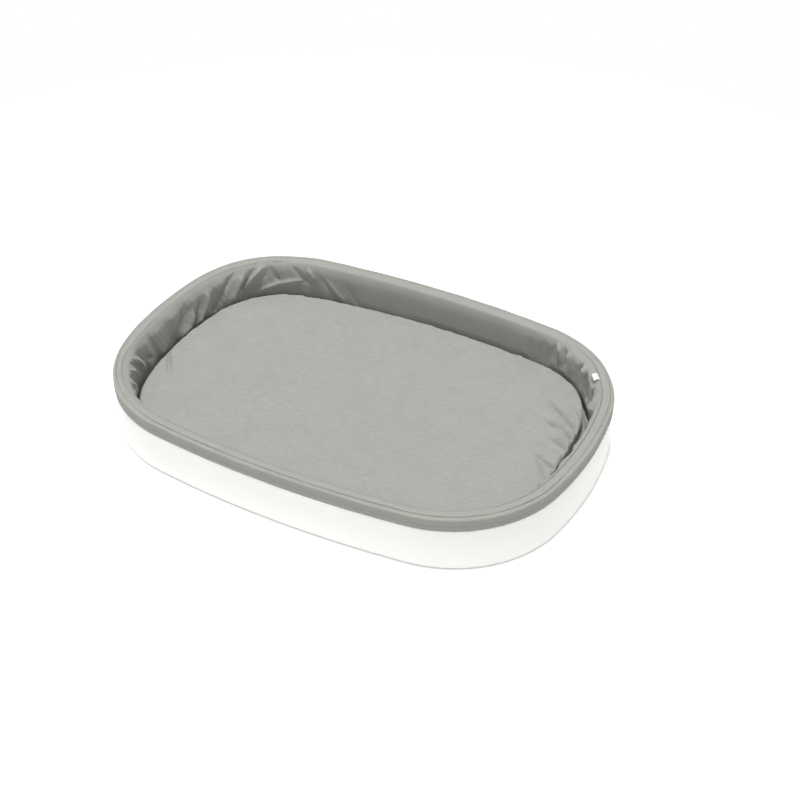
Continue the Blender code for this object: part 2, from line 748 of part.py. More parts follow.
def top_path(start, side_depth, top_depth, steps=FILLET_STEPS, shares=CROWN_RING_SHARES):
    """The mattress's upper skin from a start height to its crown, at a depth under the surface."""
    radius = MATTRESS_SHOULDER - side_depth
    edge = MATTRESS_EDGE - top_depth
    path = rounded(
        [(side_depth + waist(start), start, 0), (side_depth, edge, radius), (MATTRESS_SHOULDER, edge, 0)],
        steps,
    )[:-1]
    reach = mattress_shape().half_width
    for share in shares:
        distance = MATTRESS_SHOULDER + (reach - MATTRESS_SHOULDER) * share
        path.append((distance, edge + crown(distance)))
    return path


def bottom_path(stop, depth, steps=BEND_STEPS):
    """The mattress's lower skin from its flat base up to a stop height."""
    low = MATTRESS_BASE + depth
    radius = MATTRESS_BOTTOM_RADIUS - depth
    return rounded(
        [
            (MATTRESS_BOTTOM_RADIUS + depth, low, 0),
            (depth, low, radius),
            (depth + waist(stop), stop, 0),
        ],
        steps,
    )[1:]


def make_mattress(body):
    """Sewn cover in two panels round a wadding layer and a foam core."""
    shape = mattress_shape()
    skin = rings(shape, top_path(SEAM_HEIGHT + FIT_GAP, 0, 0))
    top = add_part("mattress_top_cover", loft(skin, cap_end=True), MELANGE_GREY, body)
    solidify(top, COVER_CLOTH)
    skin = rings(shape, bottom_path(SEAM_HEIGHT, 0))
    base = add_part("mattress_base_cover", loft(skin, cap_start=True), LINER_GREY, body)
    solidify(base, COVER_CLOTH)

    depth = COVER_CLOTH + FIT_GAP
    under_wadding = depth + WADDING + FIT_GAP
    path = bottom_path(SEAM_HEIGHT, depth, 1)
    path += top_path(SEAM_HEIGHT + FIT_GAP, depth, under_wadding, BEND_STEPS, CORE_CROWN_SHARES)
    core = loft(rings(shape, path), cap_start=True, cap_end=True)
    add_part("mattress_foam_core", core, PADDING_FOAM, body)

    reach = shape.half_width
    first = MATTRESS_SHOULDER * WADDING_EDGE_SHARE
    distances = [first] + [first + (reach - first) * share for share in CORE_CROWN_SHARES]
    skin = [(distance, MATTRESS_EDGE - depth + crown(distance)) for distance in distances]
    wadding = add_part("mattress_wadding", loft(rings(shape, skin), cap_end=True), WADDING_WHITE, body)
    solidify(wadding, WADDING)


clear_scene()
PARTS = collection("changing_mat")
TOOLS = collection("cutters")

tub = empty("tub", 0)
liner = empty("liner", LINER_FLOOR, tub)
mattress = empty("mattress", MATTRESS_BASE, liner)

make_outer_shell(tub)
make_inner_tray(tub)
make_screws(tub)
make_feet(tub)
make_floor_panel(liner)
make_wall_panel(liner)
make_rim_padding(liner)
make_rim_strip(liner)
make_skirt(liner)
make_label(liner)
make_mattress(mattress)
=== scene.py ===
"""Looks of the changing mat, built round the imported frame: a white tub, a fitted grey
liner with a gathered wall, and a heathered mattress that lifts out.

Metres, +Z up, +X along the mat, origin on the floor under its middle.
"""

import math
from collections import namedtuple

import bmesh
import bpy
import numpy as np
from mathutils import Matrix, Vector


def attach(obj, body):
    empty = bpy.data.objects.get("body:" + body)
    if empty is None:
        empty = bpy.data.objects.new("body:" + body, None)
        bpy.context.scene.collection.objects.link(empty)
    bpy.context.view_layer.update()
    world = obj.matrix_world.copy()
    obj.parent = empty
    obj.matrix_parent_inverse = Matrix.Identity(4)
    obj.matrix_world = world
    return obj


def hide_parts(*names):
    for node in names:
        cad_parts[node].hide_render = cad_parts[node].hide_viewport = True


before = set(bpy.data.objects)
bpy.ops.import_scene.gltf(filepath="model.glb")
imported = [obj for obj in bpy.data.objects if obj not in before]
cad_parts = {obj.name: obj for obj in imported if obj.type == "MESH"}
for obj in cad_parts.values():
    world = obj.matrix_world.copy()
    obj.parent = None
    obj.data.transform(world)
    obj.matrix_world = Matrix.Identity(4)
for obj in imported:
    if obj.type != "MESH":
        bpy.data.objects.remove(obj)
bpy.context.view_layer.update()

# The same named sizes as in the part's source
Shape = namedtuple("Shape", "half_length half_width side_radius end_radius corner_radius")
RIM = Shape(0.360, 0.250, 1.580, 0.514, 0.180)
RIM_HEIGHT = 0.092
FIT_GAP = 0.0003
LINER_CLOTH = 0.0010
RIM_PADDING = 0.0019
SKIRT_CLOTH = 0.0007
SKIRT_HEIGHT = 0.0205
SKIRT_HEM = 0.0085
ELASTIC_WIDTH = 0.0050
RIM_SEAM_INSET = 0.0165
FLOOR_SEAM_INSET = 0.0330
SHELL_WALL = 0.0025
SHELL_FLUSH_INSET = 0.0004
SHELL_STEP_GAP = 0.0006
SHELL_STEP_RADIUS = 0.0008
SHELL_SIDE_TAPER = 0.0042
SHELL_END_TAPER = 0.0003
SHELL_BOTTOM_RADIUS = 0.0030
SHELL_BOSS_RADIUS = 0.0070
SHELL_BOSS_HEIGHT = 0.0045
RIB_THICKNESS = 0.0018
RIB_REACH = 0.0400
CROSS_RIBS = 5
LONG_RIBS = 3
TRAY_WALL = 0.0020
TRAY_FLOOR_SPACE = 0.0105
TRAY_TOP_INSET = 0.0200
TRAY_DRAFT = 0.0030
TRAY_EDGE_RADIUS = 0.0026
TRAY_FLOOR_RADIUS = 0.0060
TRAY_LIP_DEPTH = 0.0155
TRAY_BOSS_RADIUS = 0.0042
SCREW_RADIUS = 0.0018
SCREW_LENGTH = 0.0075
SCREW_HEAD_RADIUS = 0.0036
SCREW_SEAT = 0.0025
THREAD_BITE_GAP = 0.0001
FOOT_RADIUS = 0.0120
FOOT_THICKNESS = 0.0024
FOOT_PROUD = 0.0015
FOOT_FROM_END = 0.1050
FOOT_FROM_SIDE = 0.1000
FOOT_COLUMNS = 3
OVERRUN = 0.002
MATTRESS_SIDE_MARGIN = 0.0260
MATTRESS_END_MARGIN = 0.0345
MATTRESS_THICKNESS = 0.0221
MATTRESS_CROWN = 0.0040
MATTRESS_SHOULDER = 0.0070
MATTRESS_BOTTOM_RADIUS = 0.0060
MATTRESS_SEAM_HEIGHT = 0.0090
MATTRESS_WAIST = 0.0012
COVER_CLOTH = 0.0010
WADDING = 0.0030

SHELL_FLOOR = FOOT_PROUD + SHELL_WALL
TRAY_FLOOR = SHELL_FLOOR + TRAY_FLOOR_SPACE + TRAY_WALL
LINER_FLOOR = TRAY_FLOOR + FIT_GAP
MATTRESS_BASE = LINER_FLOOR + LINER_CLOTH + FIT_GAP
MATTRESS_EDGE = MATTRESS_BASE + MATTRESS_THICKNESS
SEAM_HEIGHT = MATTRESS_BASE + MATTRESS_SEAM_HEIGHT
STRIP_UNDERSIDE = RIM_HEIGHT - LINER_CLOTH
PADDING_TOP = STRIP_UNDERSIDE - FIT_GAP
LEDGE = PADDING_TOP - RIM_PADDING - FIT_GAP
SHELL_TOP = LEDGE - TRAY_WALL - 2 * FIT_GAP
SKIRT_BOTTOM = RIM_HEIGHT - SKIRT_HEIGHT
SHELL_STEP = SKIRT_BOTTOM - SHELL_STEP_GAP
SKIRT_INNER = SKIRT_CLOTH + FIT_GAP + RIM_PADDING
LIP_INSET = SKIRT_INNER + FIT_GAP
SHELL_INSET = LIP_INSET + TRAY_WALL + FIT_GAP
WALL_INSET = TRAY_TOP_INSET + FIT_GAP

# The camera, worked out from the photograph
CAMERA_PLACE = (0.93957, -1.63141, 1.50649)
CAMERA_YAW = -0.492695
CAMERA_PITCH = -0.660462
FOCAL_PIXELS = 1626.9
IMAGE_PIXELS = 800
SENSOR = 36.0

RING = 480
FINE_RING = 1440


def inset(shape, sides, ends=None):
    ends = sides if ends is None else ends
    return Shape(
        shape.half_length - ends,
        shape.half_width - sides,
        shape.side_radius - sides,
        shape.end_radius - ends,
        shape.corner_radius - (sides + ends) / 2,
    )


def arcs(shape):
    """Centres of the end, corner and side arcs, and the normal angles where they meet."""
    side = np.array([0, shape.half_width - shape.side_radius])
    end = np.array([shape.half_length - shape.end_radius, 0])
    side_reach = shape.side_radius - shape.corner_radius
    end_reach = shape.end_radius - shape.corner_radius
    between = end - side
    length = np.hypot(*between)
    along = (side_reach**2 - end_reach**2 + length**2) / (2 * length)
    across = math.sqrt(side_reach**2 - along**2)
    unit = between / length
    corner = side + unit * along + np.array([unit[1], -unit[0]]) * across
    end_angle = math.atan2(*(corner - end)[::-1])
    side_angle = math.atan2(*(corner - side)[::-1])
    return end, corner, side, end_angle, side_angle


def ring_angles(count):
    """Normal angles at equal steps of arc length round the rim, from the +X end."""
    _, _, _, end_angle, side_angle = arcs(RIM)
    stops = np.array([0, end_angle, side_angle, math.pi / 2])
    radii = np.array([RIM.end_radius, RIM.corner_radius, RIM.side_radius])
    lengths = np.concatenate([[0], np.cumsum(radii * np.diff(stops))])
    steps = count // 4
    quarter = np.interp(np.arange(steps) / steps * lengths[-1], lengths, stops)
    back = math.pi - np.interp((1 - np.arange(steps) / steps) * lengths[-1], lengths, stops)
    half = np.concatenate([quarter, back])
    return np.concatenate([half, half + math.pi])


def outline(shape, angles):
    """Points of the outline where its normal has the given angles."""
    end, corner, side, end_angle, side_angle = arcs(shape)
    cos, sin = np.cos(angles), np.sin(angles)
    ahead, across = np.abs(cos), np.abs(sin)
    fold = np.arctan2(across, ahead)
    where = [fold < end_angle, fold < side_angle]
    x = np.select(
        where,
        [end[0] + shape.end_radius * ahead, corner[0] + shape.corner_radius * ahead],
        side[0] + shape.side_radius * ahead,
    )
    y = np.select(
        where,
        [end[1] + shape.end_radius * across, corner[1] + shape.corner_radius * across],
        side[1] + shape.side_radius * across,
    )
    return np.stack([x * np.sign(cos), y * np.sign(sin)], 1)


ANGLES = ring_angles(RING)
FINE_ANGLES = ring_angles(FINE_RING)
FINE_SHARES = np.arange(FINE_RING) / FINE_RING
FINE_NORMALS = np.stack([np.cos(FINE_ANGLES), np.sin(FINE_ANGLES)], 1)
FINE_TANGENTS = np.stack([-np.sin(FINE_ANGLES), np.cos(FINE_ANGLES)], 1)


def around(table, spread=6):
    """A value round the fine ring, smooth between pairs of normal angle in degrees and value."""
    spots = np.array([spot for spot, _ in table])
    values = np.array([value for _, value in table])
    spots = np.concatenate([spots - 360, spots, spots + 360])
    made = np.interp(np.degrees(FINE_ANGLES), spots, np.tile(values, 3))
    reach = np.arange(-3 * spread, 3 * spread + 1)
    weights = np.exp(-((reach / spread) ** 2) / 2)
    padded = np.concatenate([made[reach[0] :], made, made[: reach[-1]]])
    return np.convolve(padded, weights / weights.sum(), "valid")


def smooth(share):
    share = np.clip(share, 0, 1)
    return share * share * (3 - 2 * share)


def ring_at(shape, height, angles=ANGLES):
    points = outline(shape, angles)
    return np.column_stack([points, np.full(len(points), height)])


def rings(shape, path):
    """One ring (x, y, z) of the outline for each (inset, height) of a path."""
    return np.array([ring_at(inset(shape, distance), height) for distance, height in path])


def lay(points, distance, height):
    """Points of the fine ring, moved in from an outline by distance, at a height."""
    distance, height, _ = np.broadcast_arrays(distance, height, FINE_SHARES)
    flat = points - FINE_NORMALS * distance[..., None]
    return np.concatenate([flat, height[..., None]], -1)


def lengths(points):
    """Metres along a line of points, at each of them."""
    steps = np.linalg.norm(np.diff(points, axis=0), axis=1)
    return np.concatenate([[0], np.cumsum(steps)])


def rounded(corners, steps=6):
    """A path of (inset, height) through corners (inset, height, radius), each bend an arc."""
    path = []
    for index, (distance, height, radius) in enumerate(corners):
        if radius == 0:
            path.append((distance, height))
            continue
        here = Vector((distance, height))
        back = (Vector(corners[index - 1][:2]) - here).normalized()
        ahead = (Vector(corners[(index + 1) % len(corners)][:2]) - here).normalized()
        half = back.angle(ahead) / 2
        centre = here + (back + ahead).normalized() * radius / math.sin(half)
        start = here + back * radius / math.tan(half) - centre
        stop = here + ahead * radius / math.tan(half) - centre
        turn = math.atan2(start.x * stop.y - start.y * stop.x, start.dot(stop))
        for step in range(steps + 1):
            path.append(tuple(centre + Matrix.Rotation(turn * step / steps, 2) @ start))
    return path


def divided(path, longest):
    """The path with its long runs cut into steps of at most the given length."""
    made = [path[0]]
    for here, there in zip(path, path[1:]):
        gap = math.dist(here, there)
        count = max(1, math.ceil(gap / longest - 1e-6))
        for step in range(1, count + 1):
            share = step / count
            made.append(tuple(a + (b - a) * share for a, b in zip(here, there)))
    return made


def spline(points, steps):
    """A smooth path through the points."""
    padded = [points[0], *points, points[-1]]
    made = []
    for a, b, c, d in zip(padded, padded[1:], padded[2:], padded[3:]):
        a, b, c, d = (np.array(p) for p in (a, b, c, d))
        for step in range(steps):
            t = step / steps
            point = b + (c - a) * t / 2 + (a - 2.5 * b + 2 * c - d / 2) * t**2
            point = point + (1.5 * (b - c) + (d - a) / 2) * t**3
            made.append(tuple(point))
    made.append(tuple(points[-1]))
    return made


def grid_mesh(name, grid, closed=False, caps=(False, False), uv=True):
    """A skin over rings of equal counts, (rings, points, 3). Each ring is closed.
    Its uv map "cloth" is metres along the ring and metres along the profile."""
    count, size = grid.shape[:2]
    rows = np.arange(count if closed else count - 1)
    here = rows[:, None] * size + np.arange(size)
    right = rows[:, None] * size + (np.arange(size) + 1) % size
    above = (here + size) % (count * size)
    above_right = (right + size) % (count * size)
    faces = np.stack([here, right, above_right, above], -1).reshape(-1, 4).tolist()
    if caps[0]:
        faces.append(list(range(size))[::-1])
    if caps[1]:
        faces.append(list(range((count - 1) * size, count * size)))
    mesh = bpy.data.meshes.new(name)
    mesh.from_pydata(grid.reshape(-1, 3).tolist(), [], faces)
    if uv:
        middle = grid[count // 2]
        along = lengths(np.vstack([middle, middle[:1]]))
        down = lengths(np.vstack([grid[:, 0], grid[:1, 0]]))
        u = np.stack([along[:-1], along[1:], along[1:], along[:-1]], -1)
        v = np.stack([down[rows], down[rows], down[rows + 1], down[rows + 1]], -1)
        coords = np.stack(np.broadcast_arrays(u[None], v[:, None]), -1)
        flat = np.zeros(len(mesh.loops) * 2)
        flat[: coords.size] = coords.reshape(-1)
        mesh.uv_layers.new(name="cloth").data.foreach_set("uv", flat)
    mesh.shade_smooth()
    mesh.validate()
    mesh.update()
    return mesh


def new_object(name, data):
    made = bpy.data.objects.new(name, data)
    bpy.context.scene.collection.objects.link(made)
    return made


def place(made, material, body, slot, replaced=()):
    """Gives a finished piece its material and its body; its slot is not used."""
    made.data.materials.clear()
    made.data.materials.append(MATERIALS[material])
    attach(made, body)
    if replaced:
        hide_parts(*replaced)
    return made


def add(name, mesh, material, body, slot, replaced=()):
    return place(new_object(name, mesh), material, body, slot, replaced)


def orient(mesh, wrong=None, agree=True):
    """Turns a skin's faces outwards, and over again where wrong(faces) is true."""
    bm = bmesh.new()
    bm.from_mesh(mesh)
    if agree:
        bmesh.ops.recalc_face_normals(bm, faces=bm.faces)
    if wrong and wrong(bm.faces):
        bmesh.ops.reverse_faces(bm, faces=bm.faces)
    bm.to_mesh(mesh)
    bm.free()


def floor_shows_up(faces):
    """Whether the biggest face of an open skin, its floor, shows up."""
    return max(faces, key=lambda face: face.calc_area()).normal.z > 0


def floor_shows_down(faces):
    return not floor_shows_up(faces)


def wall_shows_out(faces):
    """Whether an open wall's skin shows away from the middle, towards the tub."""
    return sum(face.normal.xy.dot(face.calc_center_median().xy) for face in faces) > 0


def soften(mesh, degrees=35):
    """Smooth shading that stops at sharp edges."""
    mesh.shade_smooth()
    mesh.set_sharp_from_angle(angle=math.radians(degrees))


def flat_uv(mesh):
    """The cloth map of a flat panel: metres in X and Y, so that the weave runs straight."""
    coords = np.zeros(len(mesh.vertices) * 3)
    mesh.vertices.foreach_get("co", coords)
    corners = np.zeros(len(mesh.loops), dtype=np.int32)
    mesh.loops.foreach_get("vertex_index", corners)
    mesh.uv_layers["cloth"].data.foreach_set("uv", coords.reshape(-1, 3)[corners, :2].reshape(-1))


def skin(
    name, grid, looks, node, closed=False, caps=(False, False), wrong=None, flat=False, wall=0.0
):
    """A piece over rings of points that replaces a node. Looks are its material, body and
    slot. A flat panel gets a flat cloth map, and an open skin gets a wall behind it."""
    mesh = grid_mesh(name, grid, closed, caps)
    orient(mesh, wrong)
    if flat:
        flat_uv(mesh)
    made = add(name, mesh, *looks, [node])
    if wall:
        thicken(made, wall)


def thicken(obj, thickness, offset=-1):
    """Solidify, applied."""
    modifier = obj.modifiers.new("wall", "SOLIDIFY")
    modifier.thickness = thickness
    modifier.offset = offset
    modifier.use_even_offset = True
    apply_modifiers(obj)


def apply_modifiers(obj):
    graph = bpy.context.evaluated_depsgraph_get()
    graph.update()
    made = bpy.data.meshes.new_from_object(obj.evaluated_get(graph))
    old = obj.data
    obj.modifiers.clear()
    obj.data = made
    made.name = old.name
    bpy.data.meshes.remove(old)


def periodic(seed, lowest, highest, power=0.5):
    """A random wave round the ring: a function of share 0..1 that meets itself."""
    source = np.random.default_rng(seed)
    counts = np.arange(lowest, highest + 1)
    size = source.normal(size=len(counts)) / counts**power
    phase = source.uniform(0, 2 * math.pi, len(counts))
    scale = math.sqrt((size**2).sum() / 2)

    def wave(share):
        share = np.asarray(share)
        terms = size * np.cos(2 * math.pi * counts * share[..., None] + phase)
        return terms.sum(-1) / scale

    return wave


class Nodes:
    """Short names for building the nodes of a material or a world."""

    def __init__(self, owner):
        owner.use_nodes = True
        self.owner = owner
        self.tree = owner.node_tree

    def fill(self, socket, value):
        """Gives a socket its value, or links it to another socket."""
        if isinstance(value, bpy.types.NodeSocket):
            self.tree.links.new(value, socket)
        else:
            socket.default_value = value

    def node(self, kind, *values, output=0, **named):
        """A new node's output. Its sockets are filled in order or by name; a name that
        starts with a small letter is a setting."""
        made = self.tree.nodes.new("ShaderNode" + kind)
        for socket, value in zip(made.inputs, values):
            self.fill(socket, value)
        for name, value in named.items():
            if name[0].islower():
                setattr(made, name, value)
            else:
                self.fill(made.inputs[name.replace("_", " ")], value)
        return made.outputs[output]

    def surface(self, **named):
        """Fills the named sockets of the material's shader."""
        shader = self.tree.nodes["Principled BSDF"]
        for name, value in named.items():
            self.fill(shader.inputs[name.replace("_", " ")], value)

    def math(self, operation, *values):
        return self.node("Math", *values, operation=operation)

    def product(self, *factors):
        made = factors[0]
        for factor in factors[1:]:
            made = self.math("MULTIPLY", made, factor)
        return made

    def split(self, vector):
        made = self.tree.nodes.new("ShaderNodeSeparateXYZ")
        self.fill(made.inputs[0], vector)
        return made.outputs

    def coords(self, kind, scale, turn=0.0):
        """Coordinates in cells: metres of the cloth or the object times the given scale."""
        if kind == "cloth":
            source = self.node("UVMap", uv_map="cloth")
        else:
            source = self.node("TexCoord", output="Object")
        return self.node(
            "Mapping",
            vector_type="TEXTURE",
            Vector=source,
            Scale=tuple(1 / each for each in scale),
            Rotation=(0, 0, math.radians(turn)),
        )

    def noise(self, kind, scale, detail=2.0, roughness=0.5, turn=0.0):
        shape = {"Scale": 1.0, "Detail": detail, "Roughness": roughness}
        return self.node("TexNoise", output="Fac", Vector=self.coords(kind, scale, turn), **shape)

    def weave(self, threads_per_metre, turn):
        """Plain weave height, 0..1: warp and weft threads that take turns on top."""
        place = self.coords("cloth", (threads_per_metre * math.pi,) * 3, turn)
        across, along, _ = self.split(place)
        warp = self.math("ABSOLUTE", self.math("SINE", across))
        weft = self.math("ABSOLUTE", self.math("SINE", along))
        swap = self.product(self.math("COSINE", across), self.math("COSINE", along), 0.5)
        swap = self.math("ADD", swap, 0.5)
        over = self.product(warp, swap)
        under = self.product(weft, self.math("SUBTRACT", 1.0, swap))
        return self.math("ADD", over, under)

    def scaled(self, factor, low, high):
        return self.node("MapRange", Value=factor, To_Min=low, To_Max=high)

    def near_one(self, factor, reach):
        return self.scaled(factor, 1 - reach, 1 + reach)

    def shade(self, color, factor):
        """A flat colour made lighter or darker by a factor round 1."""
        return self.node("VectorMath", color, operation="SCALE", Scale=factor)

    def bump(self, height, distance, strength, **normal):
        return self.node("Bump", Distance=distance, Strength=strength, Height=height, **normal)

    def camera_share(self):
        """1 for rays that come from the camera, a mirror or glass."""
        rays = self.tree.nodes.new("ShaderNodeLightPath").outputs
        share = self.math("MAXIMUM", rays["Is Camera Ray"], rays["Is Glossy Ray"])
        return self.math("MAXIMUM", share, rays["Is Transmission Ray"])


def srgb(red, green, blue):
    """A colour read as 0..255 on screen, in linear light."""
    made = []
    for value in (red, green, blue):
        share = value / 255
        made.append(share / 12.92 if share <= 0.04045 else ((share + 0.055) / 1.055) ** 2.4)
    return tuple(made)


def cloth(
    name,
    color,
    threads,
    streaks=0.0,
    clouds=0.03,
    mottle=0.0,
    rough=0.85,
    sheen=0.15,
    turn=0.0,
    top=1.0,
):
    """Woven cloth: threads per metre, and streaks of lighter and darker fibres along u.
    Top is how much paler its colour is painted on the rim's top than at its sides: painted light,
    for the top that faces the light."""
    n = Nodes(bpy.data.materials.new(name))
    weave = n.weave(threads, turn)
    fibre = n.noise("cloth", (300, 1500, 1500), 2, 0.6, turn)
    cloud = n.noise("object", (26, 34, 30))
    factors = [n.near_one(cloud, clouds * 2), n.scaled(weave, 0.92, 1.06)]
    if mottle:
        patch = n.noise("cloth", (70, 110, 110), 2, 0.6, turn)
        factors.append(n.near_one(patch, mottle * 2))
    # Painted light: the colour grows paler towards the rim's top, where the cloth faces the light
    if top != 1.0:
        rise = n.node(
            "MapRange",
            interpolation_type="SMOOTHSTEP",
            Value=n.split(n.coords("object", (1, 1, 1)))[2],
            From_Min=RIM_HEIGHT - 0.0040,
            From_Max=RIM_HEIGHT + 0.0003,
            To_Min=1.0,
            To_Max=top,
        )
        factors.append(rise)
    if streaks:
        slub = n.noise("cloth", (80, 330, 330), 2, 0.55, turn)
        factors += [n.near_one(slub, streaks * 3.4), n.near_one(fibre, streaks * 1.6)]
    light = n.product(*factors)
    if streaks:
        fleck = n.noise("cloth", (60, 700, 700), 1, 0.5, -turn)
        light = n.math("ADD", light, n.product(n.math("POWER", fleck, 6.0), streaks * 14))
    n.surface(
        Base_Color=n.shade(color, light),
        Roughness=n.scaled(fibre, rough - 0.08, rough + 0.08),
        Sheen_Weight=sheen,
        Sheen_Roughness=0.5,
        Specular_IOR_Level=0.3,
        Normal=n.bump(weave, 0.00012, 0.5, Normal=n.bump(fibre, 0.0002, 0.4)),
    )
    return n.owner


PAD_COLOR = srgb(171, 172, 167)
LINING_COLOR = srgb(168, 169, 163)
STRIP_COLOR = srgb(171, 172, 166)
BAND_COLOR = srgb(153, 154, 148)
WHITE_COLOR = srgb(250, 250, 247)


def grained(name, color, shades, grain, rough, bump, flow=None, **values):
    """Plastic, rubber or metal: a fine grain in its gloss and surface, and in its colour
    the same grain or broad flow marks."""
    n = Nodes(bpy.data.materials.new(name))
    fine = n.noise("object", *grain)
    tint = n.noise("object", *flow) if flow else fine
    n.surface(
        Base_Color=n.shade(color, n.scaled(tint, *shades)),
        Roughness=n.scaled(fine, *rough),
        Normal=n.bump(fine, *bump),
        **values,
    )
    return n.owner


def foam(name, color, cells):
    """Open foam or wadding: small cells."""
    n = Nodes(bpy.data.materials.new(name))
    place = n.coords("object", (cells,) * 3)
    depth = n.node("TexVoronoi", output="Distance", Vector=place, Scale=1.0)
    n.surface(
        Base_Color=n.shade(color, n.scaled(depth, 0.88, 1.06)),
        Roughness=0.95,
        Normal=n.bump(depth, 0.0004, 0.6),
    )
    return n.owner


MATERIALS = {
    "white_plastic": grained(
        "white_plastic",
        WHITE_COLOR,
        (0.985, 1.01),
        ((1600,) * 3, 2, 0.6),
        (0.30, 0.42),
        (0.00003, 0.35),
        flow=((9, 9, 14), 1, 0.4),
        IOR=1.46,
    ),
    "foot_rubber": grained(
        "foot_rubber",
        srgb(92, 92, 90),
        (0.85, 1.15),
        ((2200,) * 3, 3, 0.7),
        (0.75, 0.95),
        (0.0001, 0.5),
    ),
    "screw_steel": grained(
        "screw_steel",
        srgb(200, 200, 196),
        (0.92, 1.06),
        ((900, 900, 4000), 2, 0.6),
        (0.25, 0.42),
        (0.00002, 0.4),
        Metallic=1.0,
    ),
    "pad": cloth("melange_cloth", PAD_COLOR, 1500, streaks=0.048, mottle=0.03, turn=24.0),
    "lining": cloth("liner_cloth", LINING_COLOR, 2200, rough=0.55, sheen=0.3),
    "strip": cloth("rim_cloth", STRIP_COLOR, 1500, streaks=0.02, clouds=0.02),
    # The band's colour is painted paler towards the rim's top: painted light
    "band": cloth("skirt_cloth", BAND_COLOR, 1500, streaks=0.02, clouds=0.02, top=1.30),
    "foam": foam("foam", srgb(238, 234, 220), 700),
    "wadding": foam("wadding", srgb(246, 246, 244), 260),
    "elastic": cloth("elastic", srgb(228, 228, 224), 900, clouds=0.0),
    "label": cloth("label_satin", srgb(250, 250, 250), 3200, clouds=0.0, rough=0.45, sheen=0.1),
}


def shell_shape(height):
    """The outer wall's outline: flush with the skirt under its hem, drawn in at the floor."""
    share = max(SHELL_STEP - height, 0) / (SHELL_STEP - FOOT_PROUD)
    sides = SHELL_FLUSH_INSET + SHELL_SIDE_TAPER * share
    return inset(RIM, sides, SHELL_FLUSH_INSET + SHELL_END_TAPER * share)


def foot_places():
    """Feet, and the screws above them, stand in rows on a grid in from the base's edge."""
    base = shell_shape(FOOT_PROUD)
    reach_x = base.half_length - FOOT_FROM_END
    reach_y = base.half_width - FOOT_FROM_SIDE
    columns = [reach_x * (2 * index / (FOOT_COLUMNS - 1) - 1) for index in range(FOOT_COLUMNS)]
    return [(x, y) for y in (-reach_y, reach_y) for x in columns]


def boolean(part, bm, operation):
    """Joins a solid to the part or cuts it out, at once."""
    mesh = bpy.data.meshes.new("tool")
    bm.to_mesh(mesh)
    bm.free()
    tool = new_object("tool", mesh)
    modifier = part.modifiers.new("shape", "BOOLEAN")
    modifier.operation = operation
    modifier.solver = "EXACT"
    modifier.object = tool
    apply_modifiers(part)
    bpy.data.objects.remove(tool, do_unlink=True)


def cylinders(radius, low, high, steps=32):
    """Upright cylinders where the feet are."""
    bm = bmesh.new()
    size = {"radius1": radius, "radius2": radius, "depth": high - low}
    for x, y in foot_places():
        centre = Matrix.Translation((x, y, (low + high) / 2))
        bmesh.ops.create_cone(bm, cap_ends=True, segments=steps, matrix=centre, **size)
    return bm


def add_box(bm, size, centre):
    matrix = Matrix.Translation(centre) @ Matrix.Diagonal((*size, 1))
    bmesh.ops.create_cube(bm, size=1, matrix=matrix)


def make_shell():
    """Outer wall and base of the tub, with ribs, screw bosses and the feet's recesses."""
    neck = SHELL_INSET - SHELL_FLUSH_INSET
    outside = rounded(
        [
            (SHELL_BOTTOM_RADIUS + FIT_GAP, FOOT_PROUD, 0),
            (0, FOOT_PROUD, SHELL_BOTTOM_RADIUS),
            (0, SHELL_STEP, SHELL_STEP_RADIUS),
            (neck, SHELL_STEP, 0),
            (neck, SHELL_TOP, 0),
        ]
    )
    inside = rounded(
        [
            (SHELL_BOTTOM_RADIUS + FIT_GAP, SHELL_FLOOR, 0),
            (SHELL_WALL, SHELL_FLOOR, SHELL_BOTTOM_RADIUS - SHELL_WALL),
            (SHELL_WALL, SHELL_STEP - SHELL_WALL, 0),
            (neck + SHELL_WALL, SHELL_STEP - SHELL_WALL, 0),
            (neck + SHELL_WALL, SHELL_TOP, 0),
        ],
        2,
    )
    path = outside[1:] + inside[:0:-1]
    grid = np.array([ring_at(inset(shell_shape(z), distance), z) for distance, z in path])
    shell = new_object("tub_shell", grid_mesh("tub_shell", grid, caps=(True, True), uv=False))
    orient(shell.data)

    reach = np.abs(foot_places()).max(0)
    low = FOOT_PROUD + SHELL_WALL / 2
    rib_top = SHELL_FLOOR + TRAY_FLOOR_SPACE - FIT_GAP
    for axis, count in enumerate((CROSS_RIBS, LONG_RIBS)):
        ribs = bmesh.new()
        size = [*(2 * (reach + RIB_REACH)), rib_top - low]
        size[axis] = RIB_THICKNESS
        for index in range(count):
            centre = [0, 0, (rib_top + low) / 2]
            centre[axis] = reach[axis] * (2 * index / (count - 1) - 1)
            add_box(ribs, size, centre)
        boolean(shell, ribs, "UNION")
    boss_top = SHELL_FLOOR + SHELL_BOSS_HEIGHT
    below = FOOT_PROUD - OVERRUN
    socket = cylinders(TRAY_BOSS_RADIUS + FIT_GAP, boss_top, rib_top + OVERRUN)
    recess = cylinders(FOOT_RADIUS + FIT_GAP, below, FOOT_THICKNESS + FIT_GAP, 48)
    head = cylinders(SCREW_HEAD_RADIUS + FIT_GAP, below, boss_top - SCREW_SEAT)
    hole = cylinders(SCREW_RADIUS + FIT_GAP, FOOT_PROUD, boss_top + OVERRUN)
    boolean(shell, cylinders(SHELL_BOSS_RADIUS, low, boss_top), "UNION")
    for cut in (socket, recess, head, hole):
        boolean(shell, cut, "DIFFERENCE")
    soften(shell.data)
    place(shell, "white_plastic", "tub", "tub_plastic", ["tub_outer_shell"])


